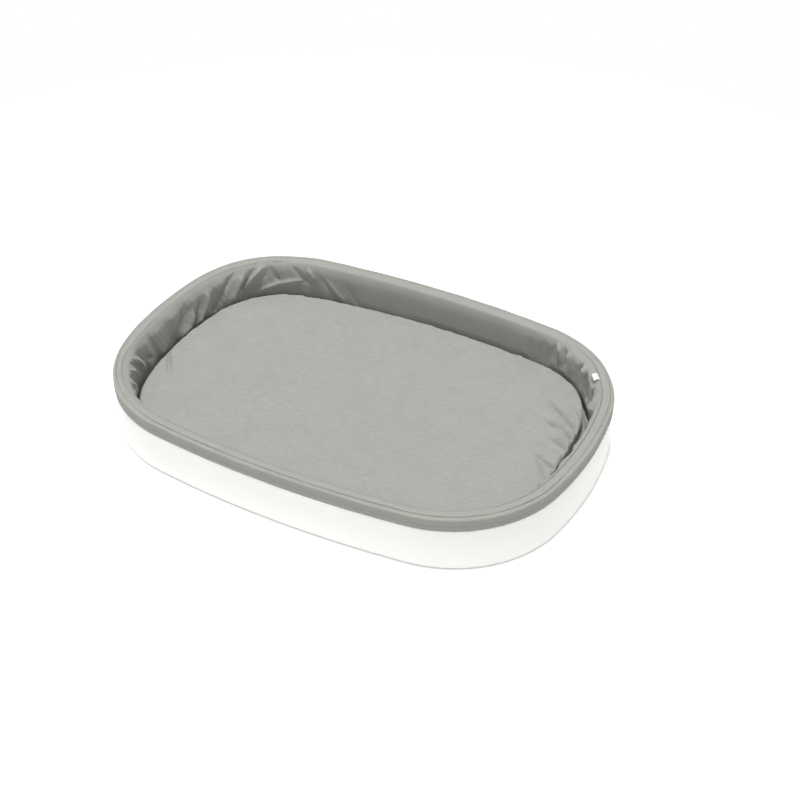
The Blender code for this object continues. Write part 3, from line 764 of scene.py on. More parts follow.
def make_tray():
    """Lip, ledge, wall and floor of the inner tray, with its screw bosses."""
    path = rounded(
        [
            (LIP_INSET, LEDGE - TRAY_LIP_DEPTH, 0),
            (LIP_INSET, LEDGE, TRAY_EDGE_RADIUS),
            (TRAY_TOP_INSET, LEDGE, TRAY_EDGE_RADIUS),
            (TRAY_TOP_INSET + TRAY_DRAFT, TRAY_FLOOR, TRAY_FLOOR_RADIUS),
            (FLOOR_SEAM_INSET, TRAY_FLOOR, 0),
        ]
    )
    mesh = grid_mesh("tub_tray", rings(RIM, path), caps=(False, True), uv=False)
    tray = new_object("tub_tray", mesh)
    orient(tray.data, floor_shows_down)
    thicken(tray, TRAY_WALL)
    low = SHELL_FLOOR + SHELL_BOSS_HEIGHT + FIT_GAP
    boolean(tray, cylinders(TRAY_BOSS_RADIUS, low, TRAY_FLOOR - TRAY_WALL / 2), "UNION")
    seat = SHELL_FLOOR + SHELL_BOSS_HEIGHT - SCREW_SEAT
    hole = cylinders(SCREW_RADIUS + THREAD_BITE_GAP, low - OVERRUN, seat + SCREW_LENGTH)
    boolean(tray, hole, "DIFFERENCE")
    soften(tray.data)
    place(tray, "white_plastic", "tub", "tub_plastic", ["tub_inner_tray"])


def finish_feet_and_screws():
    for name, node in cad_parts.items():
        for start, material in (("rubber_foot", "foot_rubber"), ("tray_screw", "screw_steel")):
            if name.startswith(start):
                node.data.materials.clear()
                node.data.materials.append(MATERIALS[material])


def mattress_shape():
    return inset(RIM, MATTRESS_SIDE_MARGIN, MATTRESS_END_MARGIN)


# How far the pad's edge lies out of its regular outline, in millimetres: it is soft, and
# the folds behind it push it in
PAD_EDGE = around(
    [
        (0, -15.0), (7, -14.0), (12, -11.0), (20, -8.0), (30, -6.0), (42, -2.0), (50, 0.5),
        (60, 1.0), (86, 1.0), (91, 0.5), (95, -3.0), (100, -5.5), (105, -5.5), (112, -3.0),
        (121, 0.0), (133, 0.8), (155, 1.0), (165, 1.0), (180, 0.0), (200, -1.0), (216, -1.0),
        (235, 0.0), (342, 0.0), (352, -9.0), (357, -14.0),
    ],
    5,
) / 1000
PAD_EDGE_REACH = 0.060
PAD_ROUND = 0.0050

# Material, body and slot of the liner's floor and wall
LINING = ("lining", "liner", "liner_cloth")
# Flat panels follow their outline inwards this far, and then shrink to this share of that
FLAT_REACH = 0.10
MIDDLE_SHARE = 0.02


def make_floor_panel():
    edge = inset(RIM, FLOOR_SEAM_INSET + FIT_GAP)
    path = [(distance, LINER_FLOOR + LINER_CLOTH) for distance in np.linspace(0, FLAT_REACH, 12)]
    grid = rings(edge, path)
    inside = [grid[-1] * [share, share, 1] for share in np.linspace(0.9, MIDDLE_SHARE, 12)]
    skin(
        "liner_floor",
        np.concatenate([grid, inside]),
        LINING,
        "liner_floor_panel",
        caps=(False, True),
        wrong=floor_shows_down,
        wall=LINER_CLOTH,
    )


# How the rim's two seams wander, as (normal angle in degrees, millimetres in from the outline)
INNER_SEAM = around(
    [
        (0, 17.4), (20, 17.0), (38, 16.4), (47, 13.2), (60, 13.2), (73, 17.2), (90, 17.4),
        (117, 16.2), (135, 16.0), (165, 16.6), (192, 16.6), (205, 13.0), (228, 13.0), (245, 15.5),
        (264, 16.5), (300, 16.8), (345, 17.2),
    ]
) / 1000
OUTER_SEAM = around(
    [
        (0, 5.0), (90, 4.8), (180, 4.8), (255, 5.5), (268, 4.5), (280, 5.5), (320, 5.2), (340, 4.8),
    ]
) / 1000

# How deep the cloth dives into each seam, in millimetres: deepest where it is gathered
INNER_GROOVE = around(
    [
        (0, 1.0), (58, 1.0), (66, -0.7), (114, -0.7), (121, 1.1), (165, 0.8), (228, 0.2),
        (236, -1.0), (260, -1.0), (265, -0.4), (273, -0.4), (278, -1.0), (312, -1.0), (322, 0.6),
    ],
    3,
) / 1000
OUTER_GROOVE = around(
    [
        (0, 1.1), (20, 0.6), (36, -0.4), (205, -0.4), (225, 0.9), (250, 1.3), (262, 1.2),
        (269, 0.7), (276, 1.3), (345, 1.3),
    ]
) / 1000
SEAM_SINK = 0.0004
SEAM_HALF_WIDTH = 0.00006

SHOULDER_WIDTH = 0.0046
SHOULDER_DROP = 0.0100
WALL_MIDDLE = [(0.0216, -0.0150), (0.0219, -0.0210), (0.0225, -0.0370)]
WALL_FOOT = (0.0242, 0.0262)
WALL_THICKNESS = 0.0007

# Folds of the wall that the photograph shows: width and height in millimetres, and the
# ridge's or valley's line as (normal angle in degrees, height over the floor in millimetres)
FOLDS = [
    (4.0, 4.2, [(106, 63), (112, 63), (119, 59), (128, 53), (138, 42)]),
    (4.0, -4.5, [(103.8, 56), (107.4, 65), (112, 80), (115.2, 89)]),
    (3.5, -5.0, [(121.6, 61), (124.3, 69), (126.6, 84), (126.6, 91)]),
    (6.0, -7.5, [(146, 36), (142.6, 45), (136.2, 60), (130.3, 76), (127.5, 89)]),
    (3.5, 4.4, [(144.9, 49), (139.4, 70), (133.9, 82), (130.3, 90)]),
    (4.0, -5.6, [(150, 38), (146.3, 55), (140.3, 75), (135.8, 87), (133, 91)]),
    (8.0, 6.9, [(156, 34), (152.2, 45), (146.3, 69), (141.7, 89)]),
    (7.0, -8.8, [(168, 34), (165, 44), (158.6, 65), (151.8, 81), (145.8, 91)]),
    (3.0, -3.8, [(167.8, 39), (163.2, 61), (159.6, 73)]),
    (3.0, 3.1, [(171.5, 38), (169.9, 63), (164.6, 87)]),
    (2.5, -3.1, [(172.6, 38), (170.7, 52), (166.9, 83)]),
    (4.0, 6.2, [(173.5, 34), (172.3, 40), (170.5, 66), (167.3, 90)]),
    (3.0, -4.4, [(174.6, 36), (173.3, 43), (171.7, 78)]),
    (6.0, 6.2, [(178.1, 34), (175.8, 40), (173.9, 70)]),
    (8.0, -5.0, [(181, 36), (177.4, 58), (175.5, 82)]),
    (5.0, -3.0, [(94.7, 34), (95.2, 54), (95.7, 74)]),
    (5.0, 2.2, [(95.5, 34), (96.1, 51), (96.9, 73)]),
    (4.0, -3.2, [(96.1, 39), (96.9, 63), (99.6, 80)]),
    (3.5, 3.2, [(99.6, 64), (102.8, 76), (106, 88)]),
    (3.5, -6.4, [(186, 42), (189.8, 63), (197.7, 87)]),
    (4.0, 5.0, [(189, 38), (193, 62), (202, 86)]),
    (3.5, -6.4, [(192, 40), (195.5, 58), (207, 87)]),
    (4.0, 5.0, [(199, 42), (203, 62), (212, 84)]),
    (3.2, -5.6, [(205, 44), (210, 62), (219, 86)]),
    (4.5, 5.6, [(214, 42), (223, 82)]),
    (4.0, -5.6, [(221, 42), (229, 84)]),
    (6.9, -11.9, [(40, 38), (42.9, 54), (46.5, 86)]),
    (6.9, 6.8, [(15.4, 76), (22.3, 62), (30.5, 56)]),
    (4.6, -8.5, [(28.7, 44), (30, 60), (31, 89)]),
    (5.8, -8.5, [(10.4, 50), (11.3, 64), (12.2, 77)]),
    (4.6, 7.6, [(44.5, 36), (46.1, 44), (48.8, 80), (51.1, 90)]),
    (6.9, -10.2, [(49, 38), (50.6, 59), (53.4, 89)]),
    (6.9, 5.1, [(60.7, 46), (62.5, 70), (64.3, 89)]),
    (4.6, -7.6, [(63.4, 52), (66.6, 74), (69.8, 88)]),
    (4.0, 6.0, [(67.1, 53), (70.3, 78), (74.9, 90)]),
    (4.6, -6.0, [(70.8, 48), (74, 71), (75.8, 86)]),
    (9.2, 7.6, [(57, 44), (64.8, 41), (71.7, 44)]),
    (9.2, -8.5, [(82.8, 34), (82.2, 41), (80.8, 61), (82.9, 84)]),
    (4.6, -4.2, [(83.6, 36), (83.6, 56), (83.7, 81)]),
]
FOLD_STRENGTH = 1.2
FOLD_TAPER = 0.30
# Share of a fold's height and width that is left at its ends, and the rounding of its section
END_HEIGHT = 0.15
END_WIDTH = 0.45
RIDGE_BEND = 0.30
RIDGE_SPREAD = 0.60
VALLEY_BEND = 0.0004
VALLEY_SPREAD = 0.62
LOOSE = around(
    [
        (0, 0.6), (38, 0.8), (60, 0.5), (118, 0.4), (130, 0.8), (215, 0.8), (225, 1.0), (350, 1.0),
    ]
)
# The wall may lean out over the pad this far, from this height over the pad's edge on
OVERHANG = 0.0055
OVERHANG_START = 0.0030
OVERHANG_RISE = 0.0080
GATHERED = around(
    [
        (0, 1.5), (52, 1.5), (64, 1.0), (78, 0.7), (88, 0.15), (93, 0.3), (100, 0.6), (115, 0.9),
        (130, 1.0), (215, 1.0), (245, 0.3), (262, 0.06), (278, 0.06), (295, 0.3), (325, 1.0),
    ],
    10,
)
PAD_GAP = 0.0016


def wall_stations():
    """Metres along the wall at each point of the fine ring, and at its end."""
    points = outline(inset(RIM, WALL_INSET), FINE_ANGLES)
    return lengths(np.vstack([points, points[:1]]))


def distance_to_line(along, across, places, period=None):
    """Distance from each (along, across) to a line through places, and where on it, 0..1."""
    near = np.full(np.broadcast(along, across).shape, 1.0)
    where = np.zeros_like(near)
    runs = len(places) - 1
    for run, ((x0, y0), (x1, y1)) in enumerate(zip(places, places[1:])):
        dx, dy = x1 - x0, y1 - y0
        px = along - x0
        if period:
            px = (px + period / 2) % period - period / 2
        py = across - y0
        share = np.clip((px * dx + py * dy) / (dx * dx + dy * dy), 0, 1)
        away = np.hypot(px - dx * share, py - dy * share)
        where = np.where(away < near, (run + share) / runs, where)
        near = np.minimum(near, away)
    return near, where


def stroke(near, where, width, height):
    """A ridge is round on top; a valley is a sharp crease. Both run out at their ends."""
    ends = smooth(where / FOLD_TAPER) * smooth((1 - where) / FOLD_TAPER)
    height = height * (END_HEIGHT + (1 - END_HEIGHT) * ends)
    width = width * (END_WIDTH + (1 - END_WIDTH) * ends)
    if np.max(height) > 0:
        bend, spread = RIDGE_BEND * width, RIDGE_SPREAD * width
    else:
        bend, spread = VALLEY_BEND, VALLEY_SPREAD * width
    return height * np.exp(-(np.sqrt(near**2 + bend**2) - bend) / spread)


def fold_heights(height, folds):
    """Sum of ridges and valleys, in metres, over the wall's grid."""
    stations = wall_stations()
    degrees = np.append(np.degrees(FINE_ANGLES), 360)
    made = np.zeros_like(height)
    for width, size, line in folds:
        places = [(np.interp(angle % 360, degrees, stations), z / 1000) for angle, z in line]
        near, where = distance_to_line(stations[:-1], height, places, stations[-1])
        made += stroke(near, where, width / 1000, size / 1000 * FOLD_STRENGTH)
    return made


# Parts of the wall that the photograph hides, from and to a normal angle, and their folds'
# spacing, in degrees
HIDDEN = ((228, 258, 5.5), (282, 357, 5.0))


def random_folds(seed):
    """Folds for the parts of the wall that the photograph hides."""
    source = np.random.default_rng(seed)
    made = []
    for start, stop, spacing in HIDDEN:
        angle = start
        sign = 1
        while angle < stop:
            lean = source.uniform(2, 9) * (-1 if angle % 180 > 90 else 1)
            top = source.uniform(80, 89)
            foot = source.uniform(34, 52)
            width = source.uniform(3.5, 6.0)
            size = source.uniform(3.0, 5.0) * sign
            middle = (angle + lean / 2, (top + foot) / 2 + 4)
            made.append((width, size, [(angle, top), middle, (angle + lean, foot)]))
            angle += spacing * source.uniform(0.45, 0.8)
            sign = -sign
    return made


def soft_clip(value, top):
    """Keeps a value between 0 and top, with rounded ends."""
    low = (value + np.sqrt(value**2 + 0.0007**2)) / 2
    top = np.maximum(top, 1e-5)
    return low / (1 + (low / top) ** 4) ** 0.25


# Gathers of the rim's seams: full at the ends and in the corners, and this share at the sides
LEAST_GATHER = 0.08
SIDE_FALL = 10


def gather_strength():
    """How strongly the rim's seams are gathered."""
    return np.clip(1.15 - np.abs(np.sin(FINE_ANGLES)) ** SIDE_FALL * 1.1, LEAST_GATHER, 1)


PUCKER = 0.00030
# A seam is smooth where it lies less deep than this, and full of gathers from 0 on
FLAT_SEAM = 0.0010


def seam_puckers(shift=0.0):
    """Rise and fall of the cloth beside a seam, from its gathers; none where it lies flat."""
    share = (FINE_SHARES + shift) % 1
    slow = 0.6 + 0.4 * periodic(22, 4, 14)(share)
    drawn_in = smooth((INNER_GROOVE + FLAT_SEAM) / FLAT_SEAM)
    return PUCKER * periodic(21, 190, 330, 0.0)(share) * gather_strength() * slow * drawn_in


# Turns of the wall's section over the rim's shoulder, in degrees
SHOULDER_TURNS = (0, 7, 14, 24, 34, 45, 56, 67, 78, 89)
# How far the gathered cloth stands off the wall's smooth section, and its long, middling and
# short waves
WALL_STAND = 0.0038
LONG_WAVES = 0.0010
MIDDLE_WAVES = 0.0008
SHORT_WAVES = 0.0003
# Waves lean by this share of the ring for each metre down, and folds by their height times this
WAVE_LEAN = 0.15
FOLD_TILT = 0.45
# Folds fade out over this height below the seam and above the floor
FOLD_FADE = 0.0150
FLOOR_CLEAR = 0.0200
# The cloth dives into the seam over this share of the shoulder, or where it is filled up rises
# to it over a longer one
DIVE_REACH = 0.11
FILL_REACH = 0.6


def wall_path():
    """The wall's section: over the shoulder, down the wall, onto the floor."""
    fillet = TRAY_FLOOR_RADIUS - FIT_GAP - LINER_CLOTH
    floor = LINER_FLOOR + LINER_CLOTH
    start = RIM_SEAM_INSET + SEAM_HALF_WIDTH
    shoulder = [
        (start + SHOULDER_WIDTH * math.sin(turn), RIM_HEIGHT - SHOULDER_DROP * (1 - math.cos(turn)))
        for turn in np.radians(np.array(SHOULDER_TURNS))
    ]
    middle = [(distance, RIM_HEIGHT + height) for distance, height in WALL_MIDDLE]
    foot = rounded([(*WALL_FOOT, 0), (0.0243, floor, fillet), (FLOOR_SEAM_INSET, floor, 0)], 5)
    path = spline([*shoulder, *middle, WALL_FOOT], 4) + foot[1:]
    return np.array(divided(path, 0.0014))


def make_wall():
    """The liner's gathered wall: over the rim's shoulder, down in folds, onto the floor."""
    path = wall_path()
    slope = np.gradient(path, axis=0)
    slope /= np.linalg.norm(slope, axis=1, keepdims=True)
    inwards = np.clip(-slope[:, 1], 0, 1)[:, None]
    upwards = np.clip(slope[:, 0], 0, 1)[:, None]
    size = (len(path), FINE_RING)
    distance = np.broadcast_to(path[:, :1], size).copy()
    height = np.broadcast_to(path[:, 1:], size).copy()
    high = smooth((height - RIM_HEIGHT + SHOULDER_DROP * 0.7) / (SHOULDER_DROP * 0.7))
    distance += (INNER_SEAM - RIM_SEAM_INSET) * high

    # Gathers and folds stand off the wall as far as the pad leaves room
    points = outline(RIM, FINE_ANGLES)
    pads = outline(mattress_shape(), FINE_ANGLES)
    pad_inset = ((points - pads) * FINE_NORMALS).sum(1) - PAD_EDGE
    clear = smooth((height - MATTRESS_EDGE - OVERHANG_START) / OVERHANG_RISE)
    room = pad_inset - distance - PAD_GAP + OVERHANG * clear
    reach = smooth((RIM_HEIGHT + 0.0006 - height) / FOLD_FADE)
    reach = reach * smooth((height - FLOOR_CLEAR) / FOLD_FADE)
    drift = periodic(3, 5, 40)(FINE_SHARES)
    lean = (RIM_HEIGHT - height[:, 0]) * WAVE_LEAN
    slant = np.array([periodic(9, 30, 90, 0.3)(FINE_SHARES + shift) for shift in lean])
    crumple = np.array([periodic(10, 90, 220, 0.3)(FINE_SHARES + shift * 1.7) for shift in lean])
    waves = LONG_WAVES * drift + MIDDLE_WAVES * slant + SHORT_WAVES * crumple
    stand = (WALL_STAND + waves * LOOSE) * GATHERED
    stand = stand + fold_heights(height, FOLDS + random_folds(11))
    stand = soft_clip(stand * reach, np.maximum(room, 0)) * (reach > 0)

    # Next to the upper seam the gathers pucker the cloth, and it dives into the seam
    beside = np.clip((distance - INNER_SEAM) / SHOULDER_WIDTH, 0, 1)
    pucker = seam_puckers() * np.exp(-((beside / 0.5) ** 2)) * 1.6
    sunk = SEAM_SINK + INNER_GROOVE
    dive = sunk * np.exp(-((beside / np.where(sunk > 0, DIVE_REACH, FILL_REACH)) ** 2))
    near_seam = (pucker - dive) * (height > RIM_HEIGHT - SHOULDER_DROP)
    grid = lay(points, distance + stand * inwards, height + near_seam + stand * upwards * 0.8)
    # Folds lean over to one side, and to the other elsewhere
    tilt = FOLD_TILT * periodic(12, 3, 16)(FINE_SHARES) * stand * GATHERED
    grid[..., :2] += FINE_TANGENTS * tilt[..., None]
    mesh = grid_mesh("liner_wall", grid)
    orient(mesh, wall_shows_out, agree=False)
    made = add("liner_wall", mesh, *LINING, ["liner_wall_panel"])
    thicken(made, WALL_THICKNESS)


STRIP_DOME = 0.0014
# How square the strip's section is, and its dome's
STRIP_EDGE = 8
DOME_EDGE = 3.2
STRIP_WAVES = 0.0003
OUTER_PUCKER = 0.3
INNER_PUCKER_REACH = 0.0042
OUTER_PUCKER_REACH = 0.0022
STRIP_ROWS = 26

# Creases across the strip where it is gathered: angle, lean in degrees, width and depth in
# millimetres
STRIP_CREASES = [
    (126.5, 1.5, 1.6, 0.9), (131.0, 1.0, 1.4, 1.0), (136.5, 2.0, 1.6, 1.1), (141.5, 2.0, 1.4, 0.9),
    (145.0, 2.5, 1.3, 0.9), (149.0, 3.0, 1.3, 0.8), (152.5, 3.0, 1.1, 0.8), (155.5, 3.2, 1.1, 0.7),
    (158.5, 3.2, 1.1, 0.7), (161.5, 3.2, 1.1, 0.7), (165.0, 3.0, 1.1, 0.6), (169.0, 3.0, 1.1, 0.5),
    (46.0, -2.0, 1.5, 0.8), (52.0, -2.0, 1.5, 0.9), (57.5, -1.5, 1.5, 0.8), (63.0, -2.5, 1.5, 0.9),
    (71.0, -2.0, 1.5, 0.6), (205.0, 2.0, 1.5, 0.6), (213.0, -2.0, 1.5, 0.6), (222.0, 2.0, 1.5, 0.6),
    (317.0, -2.0, 1.5, 0.6), (331.0, 2.0, 1.5, 0.5),
]


def make_strip():
    """The rim's top strip, puffed between its two seams, creased where it is gathered."""
    share = ((1 - np.cos(np.pi * np.arange(STRIP_ROWS) / (STRIP_ROWS - 1))) / 2)[:, None]
    outer = OUTER_SEAM + SEAM_HALF_WIDTH
    inner = INNER_SEAM - SEAM_HALF_WIDTH
    distance = outer + (inner - outer) * share
    low = RIM_HEIGHT - SEAM_SINK - (OUTER_GROOVE * (1 - share) + INNER_GROOVE * share)
    off_middle = np.abs(2 * share - 1)
    edge = 1 - off_middle**DOME_EDGE
    broad = 1 - off_middle**STRIP_EDGE
    puff = STRIP_WAVES * periodic(31, 8, 60)(FINE_SHARES) + PUFF
    height = low + (RIM_HEIGHT - low) * broad + (STRIP_DOME + puff) * edge
    near_inner = np.exp(-(((inner - distance) / INNER_PUCKER_REACH) ** 2))
    near_outer = np.exp(-(((distance - outer) / OUTER_PUCKER_REACH) ** 2))
    height += seam_puckers(0.0007) * near_inner + OUTER_PUCKER * seam_puckers(0.31) * near_outer
    degrees = np.degrees(FINE_ANGLES)
    per_degree = np.gradient(wall_stations()[:-1], degrees)
    for angle, lean, width, depth in STRIP_CREASES:
        away = (degrees - angle - lean * share) * per_degree
        crease = np.exp(-np.abs(away) / (width / 1000))
        height -= depth / 1000 * crease * (0.25 + 0.75 * share)
    top = lay(outline(RIM, FINE_ANGLES), distance, height)
    grid = np.concatenate([top, (top - [0, 0, LINER_CLOTH])[::-1]])
    skin("rim_strip", grid, ("strip", "liner", "rim_cloth"), "liner_rim_strip", closed=True)


def make_padding():
    """Foam strip over the ledge and the lip, hidden under the cloth."""
    outer = SKIRT_CLOTH + FIT_GAP
    low = SKIRT_BOTTOM + SKIRT_HEM + FIT_GAP
    under = LEDGE + FIT_GAP
    path = rounded(
        [
            (outer, low, 0),
            (outer, PADDING_TOP - 0.0004, 0.0020),
            (0.0100, PADDING_TOP + 0.0006, 0),
            (RIM_SEAM_INSET - 0.0040, PADDING_TOP - 0.0002, 0),
            (RIM_SEAM_INSET - 0.0035, under, 0),
            (SKIRT_INNER, under, TRAY_EDGE_RADIUS + FIT_GAP),
            (SKIRT_INNER, low, 0),
        ]
    )
    grid = rings(RIM, divided(path, 0.004))
    skin("rim_padding", grid, ("foam", "liner", "foam"), "liner_rim_padding", closed=True)


# The skirt's outside in section, as millimetres in from the outline and over the rim's height
SKIRT_PROFILE = [
    (3.8, 0.05),
    (2.5, 0.55),
    (1.2, 0.30),
    (0.25, -0.7),
    (-0.35, -2.1),
    (-0.5, -4.2),
    (-0.3, -7.0),
    (-0.05, -10.5),
]
PUFF = around([(0, 0), (115, 0.0), (128, 0.9), (144, 1.2), (156, 0.5), (175, 0), (300, 0)]) / 1000
SKIRT_WAVES = 0.00025
HEM_GATHERS = 0.00022


def make_skirt():
    """The band round the tub: turned over the rim's edge into the outer seam, with a hem."""
    hem_top = SKIRT_BOTTOM + SKIRT_HEM
    lower = [
        (0.0, hem_top + 0.0009),
        (0.0003, hem_top),
        (0.0, hem_top - 0.0009),
        (-0.0001, SKIRT_BOTTOM + 0.0035),
        (0.0001, SKIRT_BOTTOM + 0.0009),
        (0.0008, SKIRT_BOTTOM),
    ]
    upper = [(distance / 1000, RIM_HEIGHT + height / 1000) for distance, height in SKIRT_PROFILE]
    path = divided(spline(upper + lower, 5), 0.0012)
    inner = [
        (SKIRT_INNER, SKIRT_BOTTOM),
        (SKIRT_INNER, hem_top),
        (SKIRT_INNER - SKIRT_CLOTH, hem_top),
        (SKIRT_INNER - SKIRT_CLOTH, SKIRT_BOTTOM + SKIRT_CLOTH),
        (SKIRT_CLOTH, SKIRT_BOTTOM + SKIRT_CLOTH),
        (SKIRT_CLOTH, RIM_HEIGHT - 0.0050),
        (0.0022, RIM_HEIGHT - 0.0008),
    ]
    slow = periodic(41, 6, 40)(FINE_SHARES)
    quick = periodic(42, 120, 260, 0.0)(FINE_SHARES) * gather_strength()
    outer = OUTER_SEAM - SEAM_HALF_WIDTH
    sunk = RIM_HEIGHT - SEAM_SINK - OUTER_GROOVE
    rows = []
    # From the seam's bottom up onto the roll
    for share in (0.0, 0.25, 0.55, 0.8, 0.94):
        rise = math.sin(share * math.pi / 2) ** 0.8
        height = sunk + (path[0][1] - sunk) * rise + OUTER_PUCKER * seam_puckers(0.31) * (1 - share)
        rows.append((outer + (path[0][0] - outer) * share, height))
    for distance, height in path:
        low = math.exp(-(((height - SKIRT_BOTTOM) / 0.0060) ** 2))
        top = smooth((height - RIM_HEIGHT + 0.0080) / 0.0060)
        out = SKIRT_WAVES * slow + HEM_GATHERS * quick * low + PUFF * top
        rows.append((distance - out, height + PUFF * top * 0.8))
    rows.append((inner[0][0] - HEM_GATHERS * quick, inner[0][1]))
    rows += inner[1:]
    rows.append((outer - 0.0006, sunk - 0.0006))
    points = outline(RIM, FINE_ANGLES)
    grid = np.array([lay(points, distance, height) for distance, height in rows])
    skin("skirt_band", grid, ("band", "liner", "rim_cloth"), "liner_skirt_band", closed=True)
    low = SKIRT_BOTTOM + SKIRT_CLOTH + FIT_GAP
    outer = SKIRT_CLOTH + FIT_GAP
    inner = SKIRT_INNER - SKIRT_CLOTH - FIT_GAP
    path = [(outer, low), (outer, low + ELASTIC_WIDTH), (inner, low + ELASTIC_WIDTH), (inner, low)]
    looks = ("elastic", "liner", "elastic")
    skin("hem_elastic", rings(RIM, path), looks, "skirt_elastic", closed=True)


LABEL_ANGLE = 36.8
LABEL_WIDTH = 0.0150
LABEL_CLOTH = 0.0003
LABEL_LENGTH = 0.010
LABEL_BOW = 0.0007
LABEL_SAG = 0.0012
# The label in section, as millimetres in from the outline and over the rim's height
LABEL_PATH = [(16.6, -0.4), (17.8, 0.9), (20.4, 1.7), (23.6, 1.3), (26.0, -0.3)]


def make_label():
    """A blank satin label sewn into the wall's top seam, which stands out over the shoulder."""
    turn = math.radians(LABEL_ANGLE)
    across = np.linspace(-0.5, 0.5, 13)
    normal = np.array([math.cos(turn), math.sin(turn)])
    tangent = np.array([-normal[1], normal[0]])
    middle = outline(RIM, np.array([turn]))[0]
    rows = []
    section = spline([(d / 1000, RIM_HEIGHT + z / 1000) for d, z in LABEL_PATH], 5)
    for index, (distance, height) in enumerate(section):
        share = index / (len(section) - 1)
        bow = LABEL_BOW * share * (1 - 4 * across**2)
        flat = middle - normal * distance + tangent * LABEL_WIDTH * across[:, None]
        sag = LABEL_SAG * share**2 * (0.5 - across)
        rows.append(np.column_stack([flat, height + bow - sag]))
    grid = np.array(rows)
    mesh = bpy.data.meshes.new("blank_label")
    count, size = grid.shape[:2]
    faces = []
    for here in (r * size + c for r in range(count - 1) for c in range(size - 1)):
        faces.append((here, here + 1, here + size + 1, here + size))
    mesh.from_pydata(grid.reshape(-1, 3).tolist(), [], faces)
    layer = mesh.uv_layers.new(name="cloth")
    for loop in mesh.loops:
        r, c = divmod(loop.vertex_index, size)
        layer.data[loop.index].uv = (c / (size - 1) * LABEL_WIDTH, r / (count - 1) * LABEL_LENGTH)
    mesh.shade_smooth()
    made = add("blank_label", mesh, "label", "liner", "label_satin", ["care_label"])
    thicken(made, LABEL_CLOTH, 0)


def pad_rings(path):
    """Rings of the pad, (inset, height) each, with its edge's own irregular outline."""
    made = []
    for distance, height in path:
        out = PAD_EDGE * smooth(1 - distance / PAD_EDGE_REACH)
        made.append(lay(outline(inset(mattress_shape(), distance), FINE_ANGLES), -out, height))
    return np.array(made)


def crown(distance):
    reach = mattress_shape().half_width
    share = (reach - distance) / (reach - MATTRESS_SHOULDER)
    return MATTRESS_CROWN * (1 - min(share, 1) ** 2)


def waist(height):
    share = (height - MATTRESS_BASE) / MATTRESS_THICKNESS
    return MATTRESS_WAIST * math.sin(math.pi * share) ** 2


# Creases of the mattress's top: width and depth in millimetres, and the line as (x, y) in
# millimetres
CREASES = [
    (5.5, -9.0, [(226, 141), (248, 127), (265, 117), (284, 102), (318, 76), (340, 58)]),
    (8.0, 4.5, [(262, 139), (288, 118), (316, 96), (336, 80)]),
    (4.5, -8.0, [(246, 91), (263, 86), (280, 83), (301, 71), (322, 61), (340, 52)]),
    (6.0, 3.6, [(258, 102), (285, 92), (310, 76), (332, 64)]),
    (4.5, -7.5, [(272, 55), (291, 51), (314, 44), (338, 37)]),
    (5.5, 3.4, [(268, 68), (292, 61), (312, 55), (336, 48)]),
    (4.5, -7.0, [(264, 16), (293, 4), (318, -6), (340, -14)]),
    (4.5, -6.5, [(278, 9), (300, -21), (314, -35), (330, -48)]),
    (6.0, 3.0, [(258, 32), (288, 26), (310, 21), (334, 15)]),
    (4.0, -3.0, [(262, 40), (282, 36), (312, 31), (334, 27)]),
    (5.0, -7.0, [(-340, -10), (-322, -30), (-306, -52), (-284, -84)]),
    (6.0, 1.1, [(-308, -38), (-292, -56)]),
    (7.0, -1.6, [(-150, 184), (-134, 190), (-118, 197)]),
    (7.0, -1.5, [(-108, 186), (-96, 190), (-84, 197)]),
    (9.0, -1.6, [(-66, 186), (-48, 188), (-30, 192)]),
    (10.0, -1.2, [(-14, 178), (14, 172), (30, 176)]),
    (8.0, -1.4, [(40, 188), (62, 184), (90, 190)]),
    (9.0, -1.1, [(120, 176), (144, 168), (170, 166)]),
    (10.0, -0.9, [(-250, 80), (-232, 108), (-206, 128)]),
    (10.0, -0.9, [(-190, -120), (-150, -128), (-118, -124)]),
    (9.0, -0.9, [(60, -150), (100, -146), (132, -154)]),
]


def creases(x, y):
    made = np.zeros_like(x)
    for width, height, line in CREASES:
        near, where = distance_to_line(x, y, np.array(line) / 1000)
        made += stroke(near, where, width / 1000, height / 1000)
    return made


# The mattress's covers turn in at the side seam this deep, from a lip this high
SEAM_DEPTH = 0.0008
SEAM_BULGE = 0.0001
SEAM_LIP = 0.0010


def pad_top_rows():
    """Rows of the mattress's top cover from its side seam to its middle, and each one's depth."""
    path = rounded(
        [
            (waist(SEAM_HEIGHT), SEAM_HEIGHT + FIT_GAP, 0),
            (0, MATTRESS_EDGE, PAD_ROUND),
            (MATTRESS_SHOULDER, MATTRESS_EDGE, 0),
        ],
        9,
    )
    seam, low = path[0]
    edge = [(seam + SEAM_DEPTH, low), (seam + SEAM_BULGE, low + SEAM_LIP)]
    path = edge + divided(path[1:-1], 0.0020)
    count = len(path)
    path += [(d, MATTRESS_EDGE + crown(d)) for d in np.linspace(PAD_ROUND, FLAT_REACH, 62)[1:]]
    rows = list(pad_rings(path))
    depths = [0.0] * count + [d for d, _ in path[count:]]
    last = rows[-1].copy()
    reach = mattress_shape().half_width
    for share in np.linspace(1, MIDDLE_SHARE, 34)[1:]:
        depth = reach - (reach - FLAT_REACH) * share
        row = last * [share, share, 1]
        row[:, 2] = MATTRESS_EDGE + crown(depth)
        rows.append(row)
        depths.append(depth)
    return np.array(rows), np.array(depths), count


# Waves of the mattress's top, height and reach from its edge
EDGE_WAVES = (0.0008, 0.034)
EDGE_RIPPLES = (0.00035, 0.012)


